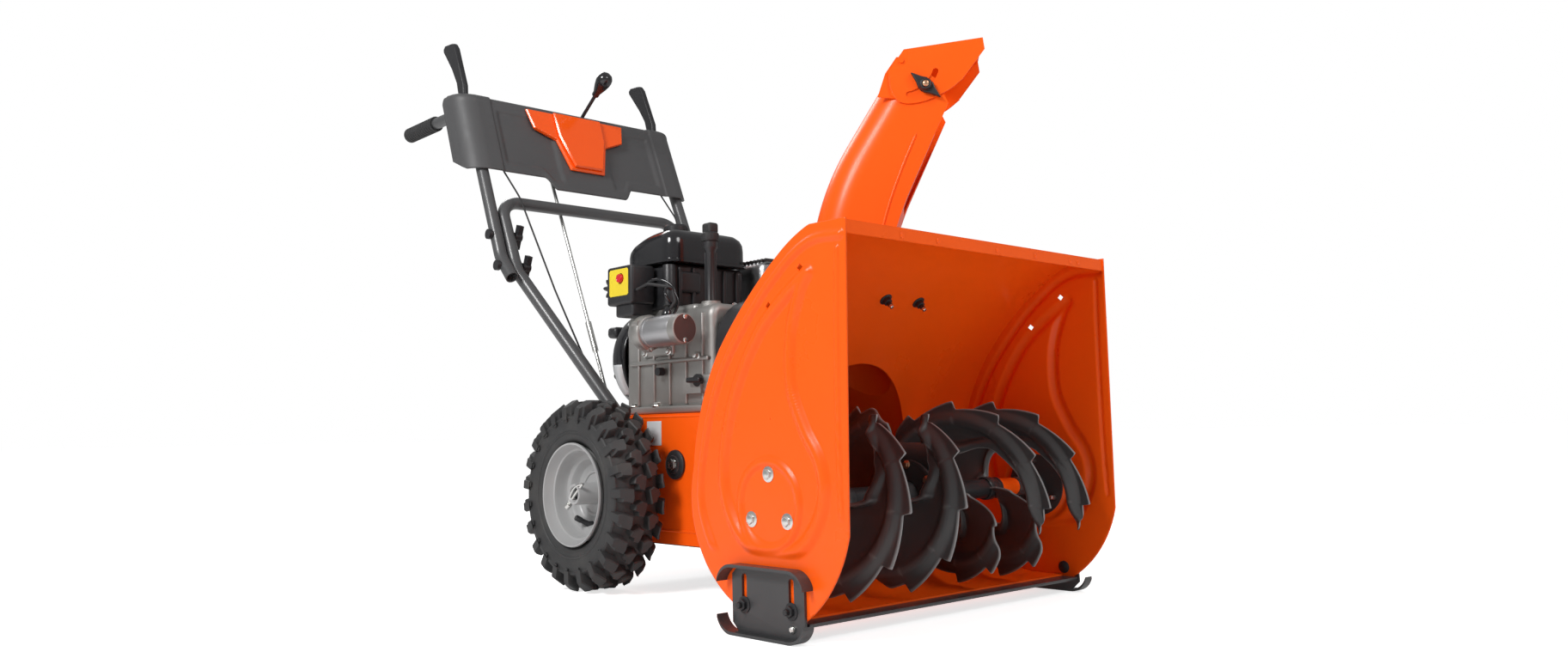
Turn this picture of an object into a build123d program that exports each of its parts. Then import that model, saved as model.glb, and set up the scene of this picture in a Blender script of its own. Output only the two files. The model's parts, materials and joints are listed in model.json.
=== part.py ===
"""Two stage snowblower, in millimetres.

X points to the machine's left, -Y to the front and +Z up.  Everything is modelled from the point on the ground
below the axle and moved at export, so that the origin is the bottom centre of the whole machine.
"""
import os
from math import atan2, cos, degrees, hypot, radians, sin

from build123d import *

# ---- driving dimensions ----
CLEARING_WIDTH = 620        # outside of the side plates, a 24 in machine
SHEET = 2.5                 # housing sheet
FRONT_Y = -714              # foremost edge of the side plates
REAR_Y = 672                # rear end of the hand grips
HOUSING_TOP = 532
PLATE_BOTTOM = 22
AUGER_Y, AUGER_Z = -560, 168
AUGER_RADIUS = 139
SHAFT_RADIUS = 9.5          # axle, auger shaft and impeller shaft
RUN = 0.05                  # radial clearance of a running fit
IMPELLER_Z = 220
DRUM_RADIUS = 150           # inside of the impeller housing
DRUM_REAR_Y = -300
IMPELLER_RADIUS = 142
CHUTE_X, CHUTE_Y = 40, -386
CHUTE_HEADING = 40          # degrees the chute is turned to the machine's left at rest
SPOUT_RADIUS = 72
COLLAR_Z = 425
WHEEL_RADIUS = 162
WHEEL_X = 207               # middle of each tyre
AXLE_Z = WHEEL_RADIUS
FRAME_HALF_WIDTH = 130
FRAME_FRONT_Y, FRAME_REAR_Y = -294, 62
FRAME_BOTTOM_Z, FRAME_TOP_Z = 78, 296
HEX_Y, HEX_Z = -140, 210
COUNTER_Y, COUNTER_Z = -64, 186
CRANK_Z = 402
TUBE_RADIUS = 12.5          # handle tubes
UPPER_X, LOWER_X = 252, 226
GRIP_Z = 941
LEVER_PIVOT = (418, 966)
SPEED_PIVOT = (30, 375, 905)
SHIFT_TOP = (-70, 399.5, 894)
SHIFT_BOTTOM = (-70, 98, 224)

REAR_ARC = ThreePointArc((-592, 502), (-524, 448), (-464, 379))   # upper rear edge of the housing, as (y, z)
HALF_WIDTH = CLEARING_WIDTH / 2
INNER_X = HALF_WIDTH - SHEET
ORIGIN_Y = (FRONT_Y + REAR_Y) / 2
BOTTOM_UP = (Align.CENTER, Align.CENTER, Align.MIN)
SIDES = (("right", -1), ("left", 1))


# ---- helpers ----
def rod(start, end, radius, bore=0):
    """A round bar, or a tube, between two points."""
    axis = Vector(*end) - Vector(*start)
    place = Plane(origin=start, z_dir=axis)
    solid = place * Cylinder(radius, axis.length, align=BOTTOM_UP)
    if bore:
        solid -= place * Cylinder(bore, axis.length, align=BOTTOM_UP)
    return solid


def block(x, y, z):
    """A box given by its ranges."""
    sizes = [hi - lo for lo, hi in (x, y, z)]
    return Pos((x[0] + x[1]) / 2, (y[0] + y[1]) / 2, (z[0] + z[1]) / 2) * Box(*sizes)


def side_slab(face, x0, x1):
    """A (y, z) face extruded across the machine from x0 to x1."""
    return extrude(Plane.YZ.offset(x0) * face, x1 - x0)


def front_slab(face, y0, y1):
    """An (x, z) face extruded from y0 back to y1."""
    plane = Plane(origin=(0, y0, 0), x_dir=(1, 0, 0), z_dir=(0, -1, 0))
    return extrude(plane * face, y0 - y1)


def polygon(*points):
    return make_face(Polyline(*points, close=True))


def bent_tube(points, radii, radius, bore=0):
    """A tube along straight runs joined by tangent arcs."""
    path = FilletPolyline(*points, radius=radii)
    ring = Circle(radius)
    if bore:
        ring -= Circle(bore)
    return sweep(Plane(origin=path @ 0, z_dir=path % 0) * ring, path=path)


def round_corners(solid, axis, radius):
    return fillet(solid.edges().filter_by(axis), radius)


def turned(points, origin, direction):
    """A closed (radius, length) profile turned about an axis through origin."""
    plane = Plane(origin=origin, z_dir=direction)
    local = Plane(origin=origin, x_dir=plane.x_dir, z_dir=-plane.y_dir)
    return revolve(local * polygon(*points), Axis(origin, direction))


def gear(radius, teeth, depth, origin, direction, width, bore):
    """A spur gear whose teeth stop at the pitch circle."""
    blank = Circle(radius)
    gap = polygon((radius - depth, -depth * 0.3), (radius + 1, -depth * 0.55),
                  (radius + 1, depth * 0.55), (radius - depth, depth * 0.3))
    for step in range(teeth):
        blank -= Rot(0, 0, step * 360 / teeth) * gap
    blank -= Circle(bore)
    return extrude(Plane(origin=origin, z_dir=direction) * blank, width)


def flange_bolt(point, direction, head=6.5, shank=4, length=9):
    """A hexagon bolt with its flange against point and its shank going along -direction."""
    plane = Plane(origin=point, z_dir=direction)
    solid = plane * Cylinder(head * 1.45, 1.6, align=BOTTOM_UP)
    solid += extrude(plane.offset(1.6) * RegularPolygon(head, 6), 5)
    solid += plane.offset(-length) * Cylinder(shank, length, align=BOTTOM_UP)
    return solid


def joined(*solids):
    total = solids[0]
    for solid in solids[1:]:
        total += solid
    return total


# ---- auger housing ----
def housing_outline():
    """Outline of a side plate, as (y, z)."""
    edges = [
        Line((FRONT_Y, HOUSING_TOP), (-648, HOUSING_TOP)),
        ThreePointArc((-648, HOUSING_TOP), (-619, 519), (-592, 502)),
        REAR_ARC,
        ThreePointArc((-464, 379), (-428, 312), (-405, 216)),
        ThreePointArc((-405, 216), (-401, 150), (-447, 65)),
        ThreePointArc((-447, 65), (-495, 33), (-545, PLATE_BOTTOM)),
        Line((-545, PLATE_BOTTOM), (-615, PLATE_BOTTOM)),
        ThreePointArc((-615, PLATE_BOTTOM), (-667, 67), (-701, 135)),
        Line((-701, 135), (FRONT_Y, HOUSING_TOP)),
    ]
    return make_face(Wire(edges))


def bearing_bolt_points():
    """Three bolts on a circle round the auger shaft, as (y, z)."""
    circle = 39.5
    return [(AUGER_Y + circle * cos(radians(a)), AUGER_Z + circle * sin(radians(a))) for a in (90, 210, 330)]


SHOE_BOLTS = ((-602, 38), (-513, 38))
WALL_BOLTS_X = (-39, 39)
WALL_INSET = 2
LIP_BOTTOM = 512            # lower edge of the lip along the top of the opening


def wall_bolt_place(x):
    """Point on the inner face of the curved wall, and the direction into the housing."""
    along = REAR_ARC % 0.36
    inward = Vector(along.Y, -along.X)
    seat = REAR_ARC @ 0.36 + inward * (WALL_INSET + SHEET + 0.1)
    return Vector(x, seat.X, seat.Y), Vector(0, inward.X, inward.Y)


def side_plate(side):
    plate = side_slab(housing_outline(), *sorted((side * INNER_X, side * HALF_WIDTH)))
    inside, outside = side * (INNER_X - 1), side * (HALF_WIDTH + 1)
    for y, z in bearing_bolt_points() + list(SHOE_BOLTS):
        plate -= rod((inside, y, z), (outside, y, z), 4.1)
    for y, z in ((-629.6, 476.4), (-567.6, 431)):
        square = Pos(y, z) * Rot(0, 0, 45) * Rectangle(8, 8)
        plate -= side_slab(square, *sorted((inside, outside)))
    return plate


def housing_wall():
    outline = housing_outline()
    band = offset(outline, amount=-WALL_INSET) - offset(outline, amount=-WALL_INSET - SHEET)
    band -= polygon((-730, 0), (-598, 0), (-598, 200), (-640, LIP_BOTTOM), (-730, LIP_BOTTOM))
    band -= polygon((-730, 500), (-712, 500), (-712, 540), (-730, 540))
    wall = side_slab(band, -INNER_X, INNER_X)
    wall -= rod((0, -560, IMPELLER_Z), (0, DRUM_REAR_Y, IMPELLER_Z), DRUM_RADIUS - 3)
    for x in WALL_BOLTS_X:
        seat, inward = wall_bolt_place(x)
        wall -= rod(tuple(seat - inward * 12), tuple(seat + inward * 4), 4.1)
    return wall


def impeller_housing():
    drum = rod((0, -520, IMPELLER_Z), (0, DRUM_REAR_Y + SHEET, IMPELLER_Z), DRUM_RADIUS + SHEET)
    drum += rod((CHUTE_X, CHUTE_Y, 300), (CHUTE_X, CHUTE_Y, COLLAR_Z), SPOUT_RADIUS + SHEET)
    drum -= rod((0, -530, IMPELLER_Z), (0, DRUM_REAR_Y, IMPELLER_Z), DRUM_RADIUS)
    drum -= rod((CHUTE_X, CHUTE_Y, 250), (CHUTE_X, CHUTE_Y, COLLAR_Z + 1), SPOUT_RADIUS)
    drum -= rod((0, -330, IMPELLER_Z), (0, -290, IMPELLER_Z), SHAFT_RADIUS + RUN)
    drum -= side_slab(offset(housing_outline(), amount=-WALL_INSET), -300, 300)
    return drum


def chute_collar():
    """Ring on the spout with three guides that hold the chute's flange down."""
    ring = rod((CHUTE_X, CHUTE_Y, COLLAR_Z), (CHUTE_X, CHUTE_Y, COLLAR_Z + 4), 88, SPOUT_RADIUS)
    for angle in (90, 210, 330):
        guide = block((82, 87.5), (-14, 14), (COLLAR_Z + 4, COLLAR_Z + 9.5))
        guide += block((77, 87.5), (-14, 14), (COLLAR_Z + 9.5, COLLAR_Z + 14))
        ring += Pos(CHUTE_X, CHUTE_Y, 0) * Rot(0, 0, angle) * guide
    return ring


def scraper_bar():
    bar = block((-306, 306), (-626, -566), (PLATE_BOTTOM - 3, PLATE_BOTTOM + WALL_INSET))
    return chamfer(bar.edges().filter_by(Axis.X).group_by(Axis.Y)[0].sort_by(Axis.Z)[0], 3)


def housing_bolts():
    bolts = []
    for _, side in SIDES:
        for y, z in bearing_bolt_points():
            bolts.append(flange_bolt((side * HALF_WIDTH, y, z), (side, 0, 0)))
        for y, z in SHOE_BOLTS:
            bolts.append(flange_bolt((side * (HALF_WIDTH + 4.8), y, z), (side, 0, 0)))
    for x in WALL_BOLTS_X:
        bolts.append(flange_bolt(*wall_bolt_place(x)))
    return Compound(children=bolts)


def flange_bearings():
    """Flanged bushes of the auger shaft, the axle and the hexagon shaft."""
    bushes = []
    for _, side in SIDES:
        seat = side * INNER_X
        bush = rod((seat, AUGER_Y, AUGER_Z), (seat - side * 22, AUGER_Y, AUGER_Z), 17, SHAFT_RADIUS + RUN)
        flange = rod((seat, AUGER_Y, AUGER_Z), (seat - side * 3, AUGER_Y, AUGER_Z), 50, SHAFT_RADIUS + RUN)
        for y, z in bearing_bolt_points():
            flange -= rod((seat + side, y, z), (seat - side * 4, y, z), 4.1)
        bushes.append(bush + flange)
        for y, z, bore in ((0, AXLE_Z, SHAFT_RADIUS), (HEX_Y, HEX_Z, 8)):
            wall = side * FRAME_HALF_WIDTH
            bush = rod((wall - side * 12, y, z), (wall + side * 7, y, z), 15.9, bore + RUN)
            bush += rod((wall, y, z), (wall + side * 3, y, z), 24, bore + RUN)
            bushes.append(bush)
    return Compound(children=bushes)


# ---- skid shoes ----
SHOE_TOP = 90
SHOE_GAP = 0.4
SHOE_SHEET = 4
SLOT_LOW, SLOT_HIGH = 28, 78


def skid_shoe(side):
    """Reversible shoe: a slotted plate with a curled runner along its bottom and another along its top."""
    def lip(flip):
        heights = [SHOE_TOP - z if flip else z for z in (20, 6, 0)]
        edges = [
            ThreePointArc((-637, heights[0]), (-627, heights[1]), (-609, heights[2])),
            Line((-609, heights[2]), (-502, heights[2])),
            ThreePointArc((-502, heights[2]), (-484, heights[1]), (-474, heights[0])),
        ]
        inward = -SHOE_SHEET if flip else SHOE_SHEET
        shift = [Pos(0, inward) * edge for edge in edges]
        ends = [Line(edges[0] @ 0, shift[0] @ 0), Line(edges[2] @ 1, shift[2] @ 1)]
        return make_face(Wire(edges + shift + ends))

    back = HALF_WIDTH + SHOE_GAP
    plate = polygon((-610, 3), (-501, 3), (-489, 14), (-489, SHOE_TOP - 14), (-501, SHOE_TOP - 3),
                    (-610, SHOE_TOP - 3), (-625, SHOE_TOP - 16), (-625, 16))
    shoe = side_slab(plate, back, back + SHOE_SHEET)
    shoe += side_slab(lip(False), back, 330) + side_slab(lip(True), back, 330)
    for y, _ in SHOE_BOLTS:
        slot = Pos(y, (SLOT_LOW + SLOT_HIGH) / 2) * Rot(0, 0, 90) * SlotOverall(SLOT_HIGH - SLOT_LOW, 9.5)
        shoe -= side_slab(slot, back - 1, back + 5)
    return shoe if side > 0 else mirror(shoe, about=Plane.YZ)


# ---- auger ----
FLIGHT_SHEET = 3.5
FLIGHT_TURN = 200
FLIGHT_RUN = 105
FLIGHT_INNER = 86
PIN_X = 55                  # shear pins, from the middle


def auger_half(side):
    """Tube with two pairs of helical arms that carry snow to the middle."""
    half = rod((48, AUGER_Y, AUGER_Z), (282, AUGER_Y, AUGER_Z), 15, SHAFT_RADIUS + RUN)
    mean = (AUGER_RADIUS + FLIGHT_INNER) / 2
    pitch = FLIGHT_RUN * 360 / FLIGHT_TURN
    helix = Helix(pitch, FLIGHT_RUN, mean)
    width = AUGER_RADIUS - FLIGHT_INNER
    section = Plane(origin=helix @ 0, x_dir=(1, 0, 0), z_dir=helix % 0) * Rectangle(width, FLIGHT_SHEET)
    arm = sweep(section, path=helix, is_frenet=True)
    arm += block((12, 100), (-2, 16), (-1.5, 3.5))
    for start in (62, 168):
        for angle in (80, 260):
            half += Pos(start, AUGER_Y, AUGER_Z) * Rot(0, 90, 0) * Rot(0, 0, angle) * arm
    pin_hole = rod((PIN_X, AUGER_Y, AUGER_Z - 30), (PIN_X, AUGER_Y, AUGER_Z + 30), 3.1)
    half -= pin_hole
    return half if side > 0 else mirror(half, about=Plane.YZ)


def auger_shaft():
    shaft = rod((-303, AUGER_Y, AUGER_Z), (303, AUGER_Y, AUGER_Z), SHAFT_RADIUS)
    for _, side in SIDES:
        shaft -= rod((side * PIN_X, AUGER_Y, AUGER_Z - 30), (side * PIN_X, AUGER_Y, AUGER_Z + 30), 3.1)
    return shaft


def shear_pins():
    pins = []
    for _, side in SIDES:
        foot = (side * PIN_X, AUGER_Y, AUGER_Z - 21)
        pin = rod(foot, (side * PIN_X, AUGER_Y, AUGER_Z + 16), 3)
        pin += extrude(Plane(origin=(side * PIN_X, AUGER_Y, AUGER_Z + 16)) * RegularPolygon(6, 6), 5)
        pins.append(pin)
    return Compound(children=pins)


WORM_WHEEL_RADIUS = 37.9
WORM_RADIUS = 13.6


def worm_wheel():
    return gear(WORM_WHEEL_RADIUS, 20, 4, (-9, AUGER_Y, AUGER_Z), (1, 0, 0), 18, SHAFT_RADIUS)


def gear_case():
    """Cast case that crosses the auger shaft under the impeller shaft."""
    case = rod((-27, AUGER_Y, AUGER_Z), (27, AUGER_Y, AUGER_Z), 47)
    case += rod((-44, AUGER_Y, AUGER_Z), (44, AUGER_Y, AUGER_Z), 19)
    case += rod((0, -608, IMPELLER_Z), (0, -500, IMPELLER_Z), 23)
    case += rod((0, -500, IMPELLER_Z), (0, -486, IMPELLER_Z), 17)
    case -= rod((-20, AUGER_Y, AUGER_Z), (20, AUGER_Y, AUGER_Z), 41)
    case -= rod((0, -592, IMPELLER_Z), (0, -520, IMPELLER_Z), 17)
    case -= rod((-50, AUGER_Y, AUGER_Z), (50, AUGER_Y, AUGER_Z), SHAFT_RADIUS + RUN)
    case -= rod((0, -602, IMPELLER_Z), (0, -480, IMPELLER_Z), SHAFT_RADIUS + RUN)
    case += rod((0, -575, IMPELLER_Z + 20), (0, -575, IMPELLER_Z + 31), 6)
    return case


# ---- impeller ----
def impeller():
    wheel = rod((0, -394, IMPELLER_Z), (0, -312, IMPELLER_Z), 18)
    for angle in (10, 100, 190, 280):
        blade = block((12, IMPELLER_RADIUS), (-394, -312), (-2, 2))
        lip = block((IMPELLER_RADIUS - 4, IMPELLER_RADIUS), (-394, -312), (-2, 14))
        wheel += Pos(0, 0, IMPELLER_Z) * Rot(0, angle, 0) * (blade + lip)
    wheel &= rod((0, -400, IMPELLER_Z), (0, -300, IMPELLER_Z), IMPELLER_RADIUS + 2)
    return wheel - rod((0, -400, IMPELLER_Z), (0, -300, IMPELLER_Z), SHAFT_RADIUS)


def impeller_shaft():
    """Shaft from the pulley to the gear case, with the worm near its front end."""
    shaft = rod((0, -600, IMPELLER_Z), (0, -264, IMPELLER_Z), SHAFT_RADIUS)
    shaft += rod((0, -586, IMPELLER_Z), (0, -534, IMPELLER_Z), 10.5)
    for step in range(5):
        middle = -578 + step * 9
        ring = ((9, middle - 3.4), (WORM_RADIUS, middle - 1.5), (WORM_RADIUS, middle + 1.5), (9, middle + 3.4))
        shaft += turned(ring, (0, 0, IMPELLER_Z), (0, 1, 0))
    return shaft


def pulley(radius, width, start, z, bore):
    """A V pulley about the y axis whose front rim is at start."""
    groove = 9
    profile = ((bore, start), (radius, start), (radius, start + 2), (radius - groove, start + width / 2 - 2),
               (radius - groove, start + width / 2 + 2), (radius, start + width - 2),
               (radius, start + width), (bore, start + width))
    return turned(profile, (0, 0, z), (0, 1, 0))


def belt(top, top_radius, bottom, bottom_radius, y, width):
    """A closed belt round two pulleys, as flat runs between two arcs."""
    def loop(extra):
        lower = Pos(0, bottom) * Circle(bottom_radius + extra)
        upper = Pos(0, top) * Circle(top_radius + extra)
        return make_hull(lower.edges() + upper.edges())

    return front_slab(loop(5) - loop(0), y - width / 2, y + width / 2)


# ---- wheels ----
def wheel_rim(side):
    """Pressed rim with a stepped dish and a hub tube, lengths measured outwards from the tyre's middle."""
    barrel = ((72, -46.5), (88, -46.5), (88, -44), (75, -44), (75, 44), (88, 44), (88, 46.5), (72, 46.5),
              (72, 22), (58, 22), (54, 12), (40, 10), (34, 16), (17, 16), (17, 62), (SHAFT_RADIUS, 62),
              (SHAFT_RADIUS, -30), (17, -30), (17, 13), (33, 13), (39, 7), (56, 9), (61, 19), (72, 19))
    rim = turned(barrel, (side * WHEEL_X, 0, AXLE_Z), (side, 0, 0))
    pin = side * (WHEEL_X + 54)
    return rim - rod((pin, 0, AXLE_Z - 30), (pin, 0, AXLE_Z + 30), 3.1)


TREAD_LUGS = 18


def tyre(side):
    """Hollow carcass; its widest part is 98 mm across."""
    outer = ((75.3, -36), (90, -43.5), (112, -49), (132, -48), (146, -43), (153, -34), (155, -20), (155, 20),
             (153, 34), (146, 43), (132, 48), (112, 49), (90, 43.5), (75.3, 36))
    inner = ((75.3, -26), (90, -33), (112, -39), (134, -37), (146, -28), (150, 0), (146, 28), (134, 37),
             (112, 39), (90, 33), (75.3, 26))
    origin = (side * WHEEL_X, 0, AXLE_Z)
    shell = turned(outer, origin, (side, 0, 0)) - turned(inner, origin, (side, 0, 0))
    lugs = []
    for step in range(TREAD_LUGS):
        for start, phase in ((-41, 0), (5, 0.5)):
            lug = block((start, start + 36), (-9, 9), (150, WHEEL_RADIUS))
            lugs.append(Pos(*origin) * Rot((step + phase) * 360 / TREAD_LUGS, 0, 0) * lug)
    return shell + lugs


def axle():
    shaft = rod((-288, 0, AXLE_Z), (288, 0, AXLE_Z), SHAFT_RADIUS)
    for _, side in SIDES:
        pin = side * (WHEEL_X + 54)
        shaft -= rod((pin, 0, AXLE_Z - 30), (pin, 0, AXLE_Z + 30), 3.1)
    return shaft


def wheel_pins():
    """Linch pins through the hubs, each with its wire loop."""
    pins = []
    for _, side in SIDES:
        x = side * (WHEEL_X + 54)
        pin = rod((x, 0, AXLE_Z - 26), (x, 0, AXLE_Z + 24), 3)
        pin += rod((x, 0, AXLE_Z + 24), (x, 0, AXLE_Z + 30), 5)
        pins.append(pin)
    return Compound(children=pins)


# ---- traction drive ----
def tractor_frame():
    width = FRAME_HALF_WIDTH
    body = block((-width, width), (FRAME_FRONT_Y, FRAME_REAR_Y), (FRAME_BOTTOM_Z, FRAME_TOP_Z))
    body = round_corners(body, Axis.Z, 8)
    body -= block((-width + 3, width - 3), (FRAME_FRONT_Y + 3, FRAME_REAR_Y - 3), (0, FRAME_TOP_Z - 3))
    body += block((-width + 3, width - 3), (-233, -229), (120, FRAME_TOP_Z - 3))
    body -= block((-76, 76), (-290, -234), (280, 310))
    body -= block((-40, 40), (-234, -228), (280, 292))
    body += block((SHIFT_BOTTOM[0] - 12, SHIFT_BOTTOM[0] + 12), (FRAME_REAR_Y - 2, 122), (240, 246))
    body -= rod(SHIFT_BOTTOM, SHIFT_TOP, 4.4)
    body -= rod((0, -300, IMPELLER_Z), (0, -285, IMPELLER_Z), 12)
    body -= rod((0, -240, HEX_Z), (0, -220, HEX_Z), 8 + RUN)
    for y, z in ((0, AXLE_Z), (HEX_Y, HEX_Z)):
        body -= rod((-width - 1, y, z), (width + 1, y, z), 16)
    for _, side in SIDES:
        body -= rod((side * 120, -6, 250), (side * 140, -6, 250), 4.1)
    return body


def bottom_cover():
    width = FRAME_HALF_WIDTH
    return block((-width + 4, width - 4), (FRAME_FRONT_Y + 4, FRAME_REAR_Y - 4), (FRAME_BOTTOM_Z - 2, FRAME_BOTTOM_Z))


def hex_shaft():
    """Hexagon shaft with round journals and its pinion."""
    shaft = extrude(Plane(origin=(-110, HEX_Y, HEX_Z), z_dir=(1, 0, 0)) * RegularPolygon(9, 6), 220)
    shaft += rod((-140, HEX_Y, HEX_Z), (140, HEX_Y, HEX_Z), 8)
    return shaft + gear(22.5, 16, 3.5, (76, HEX_Y, HEX_Z), (1, 0, 0), 14, 7)


def friction_wheel():
    wheel = rod((-33, HEX_Y, HEX_Z), (-17, HEX_Y, HEX_Z), 58.6)
    wheel += rod((-17, HEX_Y, HEX_Z), (-1, HEX_Y, HEX_Z), 18)
    bore = Plane(origin=(-40, HEX_Y, HEX_Z), z_dir=(1, 0, 0)) * RegularPolygon(9.3, 6)
    return wheel - extrude(bore, 60)


def drive_plate():
    """Friction plate, its shaft and the pulley that drives it."""
    plate = rod((0, -207, HEX_Z), (0, -199, HEX_Z), 78)
    plate += rod((0, -256, HEX_Z), (0, -207, HEX_Z), 8)
    return plate + pulley(55, 18, -256, HEX_Z, 7)


def counter_gear():
    origin = (76, COUNTER_Y, COUNTER_Z)
    large = gear(56.7, 40, 3.5, origin, (1, 0, 0), 14, 6)
    small = gear(17.8, 14, 3.2, (92, COUNTER_Y, COUNTER_Z), (1, 0, 0), 14, 6)
    pin = rod((74, COUNTER_Y, COUNTER_Z), (FRAME_HALF_WIDTH - 4, COUNTER_Y, COUNTER_Z), 7)
    return large + small + pin


def axle_gear():
    return gear(50, 40, 3.2, (92, 0, AXLE_Z), (1, 0, 0), 14, SHAFT_RADIUS)


# ---- engine ----
def engine_block():
    """Crankcase with a finned cylinder lying towards the left."""
    case = block((-92, 84), (-196, 56), (FRAME_TOP_Z, 486))
    case = round_corners(case, Axis.Y, 22)
    case = round_corners(case, Axis.Z, 12)
    for step in range(7):
        fin = block((88 + step * 11, 92 + step * 11), (-150, 10), (340, 474))
        case += round_corners(fin, Axis.X, 14)
    case += block((80, 160), (-126, -14), (360, 452))
    case += round_corners(block((158, 196), (-140, 0), (350, 464)), Axis.X, 16)
    case += rod((0, -206, CRANK_Z), (0, -190, CRANK_Z), 34)
    case += rod((-62, -158, 470), (-62, -158, 492), 17)
    case += block((-104, -60), (-176, -128), (330, 356))
    case -= rod((0, -260, CRANK_Z), (0, 60, CRANK_Z), 12 + RUN)
    case -= rod((-62, -158, 478), (-62, -158, 500), 9.1)
    return case


def engine_cover():
    """Heater box round the carburettor, between crankcase and tank."""
    cover = block((-94, 96), (-86, 50), (486, 570))
    return round_corners(cover, Axis.Z, 14)


def fuel_tank():
    tank = block((-100, 100), (-92, 62), (570, 634))
    tank = round_corners(tank, Axis.Z, 24)
    tank = fillet(tank.edges().group_by(Axis.Z)[-1], 20)
    tank += rod((-30, -20, 630), (-30, -20, 642), 17)
    return tank - rod((-30, -20, 612), (-30, -20, 643), 13)


def fuel_cap():
    cap = rod((-30, -20, 642.4), (-30, -20, 655), 24)
    return cap + rod((-30, -20, 616), (-30, -20, 642.4), 12.6)


def blower_housing():
    shell = turned(((40, 58), (98, 58), (98, 100), (78, 116), (60, 122), (40, 122)), (0, 0, CRANK_Z), (0, 1, 0))
    shell -= turned(((0, 57), (93, 57), (93, 98), (74, 112), (46, 117), (0, 117)), (0, 0, CRANK_Z), (0, 1, 0))
    cup = rod((0, 112, CRANK_Z), (0, 124, CRANK_Z), 42)
    shell += cup
    return shell - rod((-48, 60, 458), (-48, 140, 458), 7)


def recoil_handle():
    """Pull grip with the first length of its rope."""
    grip = round_corners(block((-74, -22), (126, 146), (447, 469)), Axis.X, 8)
    return grip + rod((-48, 94, 458), (-48, 126, 458), 3)


def crankshaft():
    """Crankshaft with its double pulley, and the flywheel on its rear end."""
    shaft = rod((0, -290, CRANK_Z), (0, 92, CRANK_Z), 12)
    shaft += pulley(32, 22, -288, CRANK_Z, 11) + pulley(25, 18, -256, CRANK_Z, 11)
    fan = rod((0, 68, CRANK_Z), (0, 84, CRANK_Z), 82, 12)
    for step in range(12):
        vane = block((40, 78), (84, 92), (-2, 2))
        fan += Pos(0, 0, CRANK_Z) * Rot(0, step * 30, 0) * vane
    return Compound(children=[shaft, fan])


def belts():
    seat = 6.7
    auger_belt = belt(CRANK_Z, 32 - seat, IMPELLER_Z, 72 - seat, -277, 7)
    drive_belt = belt(CRANK_Z, 25 - seat, HEX_Z, 55 - seat, -247, 6)
    return Compound(children=[auger_belt, drive_belt])


def belt_cover():
    """Plastic cover over the pulleys, open below and behind."""
    cover = block((-86, 86), (-293, -208), (FRAME_TOP_Z, 466))
    cover = fillet(cover.edges().filter_by(Axis.Y).group_by(Axis.Z)[-1], 60)
    inside = block((-83, 83), (-291, -200), (FRAME_TOP_Z - 5, 463))
    return cover - fillet(inside.edges().filter_by(Axis.Y).group_by(Axis.Z)[-1], 57)


def muffler():
    """Silencer on the head with its slotted guard."""
    can = round_corners(block((108, 190), (-120, -20), (500, 592)), Axis.Y, 20)
    can += rod((178, -70, 464), (178, -70, 505), 11)
    for step in range(5):
        can -= block((186, 191), (-110, -30), (514 + step * 14, 520 + step * 14))
    return can


STARTER_X, STARTER_Z = -148, 438


def starter_motor():
    motor = rod((STARTER_X, -190, STARTER_Z), (STARTER_X, -96, STARTER_Z), 27)
    motor += rod((STARTER_X, -96, STARTER_Z), (STARTER_X, -50, STARTER_Z), 32)
    motor += block((STARTER_X + 10, -92), (-90, -56), (STARTER_Z - 22, STARTER_Z + 22))
    return motor


def control_box():
    """Switch box for the electric start."""
    box = round_corners(block((-150, -94), (-38, 40), (496, 568)), Axis.Y, 8)
    box -= rod((-151, -5, 544), (-138, -5, 544), 9.3)
    return box - rod((-122, 30, 532), (-122, 41, 532), 8.3)


def start_button():
    return rod((-155, -5, 544), (-141, -5, 544), 9)


def choke_knob():
    knob = rod((-122, 41, 532), (-122, 58, 532), 24)
    for step in range(8):
        knob -= Pos(-122, 0, 532) * Rot(0, step * 45, 0) * rod((27, 45, 0), (27, 59, 0), 5)
    return knob + rod((-122, 31, 532), (-122, 41, 532), 8)


def oil_fill_tube():
    tube = rod((-62, -158, 478), (-62, -158, 600), 9, 6.5)
    return tube + rod((-62, -158, 592), (-62, -158, 600), 13, 6.5)


def oil_cap():
    cap = rod((-62, -158, 600.4), (-62, -158, 618), 16)
    cap += round_corners(block((-66, -58), (-171, -145), (616, 634)), Axis.Z, 3)
    return cap + rod((-62, -158, 560), (-62, -158, 600.4), 6.2)


# ---- handles ----
def lean(z):
    """Where the handle tubes are at a height, as y."""
    return 250 + (z - 606) * 145 / 335


def upper_handles():
    tubes = []
    for _, side in SIDES:
        x = side * UPPER_X
        points = ((x, 207, 562), (x, 250, 606), (x, lean(GRIP_Z), GRIP_Z), (x, REAR_Y - 6, GRIP_Z))
        tube = bent_tube(points, (60, 55), TUBE_RADIUS, TUBE_RADIUS - 2)
        tubes.append(tube - handle_bolt_holes())
    return Compound(children=tubes)


HANDLE_BOLTS = ((lean(654) - 0.5, 654), (lean(606) - 14, 588))


def handle_bolt_holes():
    holes = rod((-280, *HANDLE_BOLTS[0]), (280, *HANDLE_BOLTS[0]), 4.1)
    return holes + rod((-280, *HANDLE_BOLTS[1]), (280, *HANDLE_BOLTS[1]), 4.1)


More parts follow.
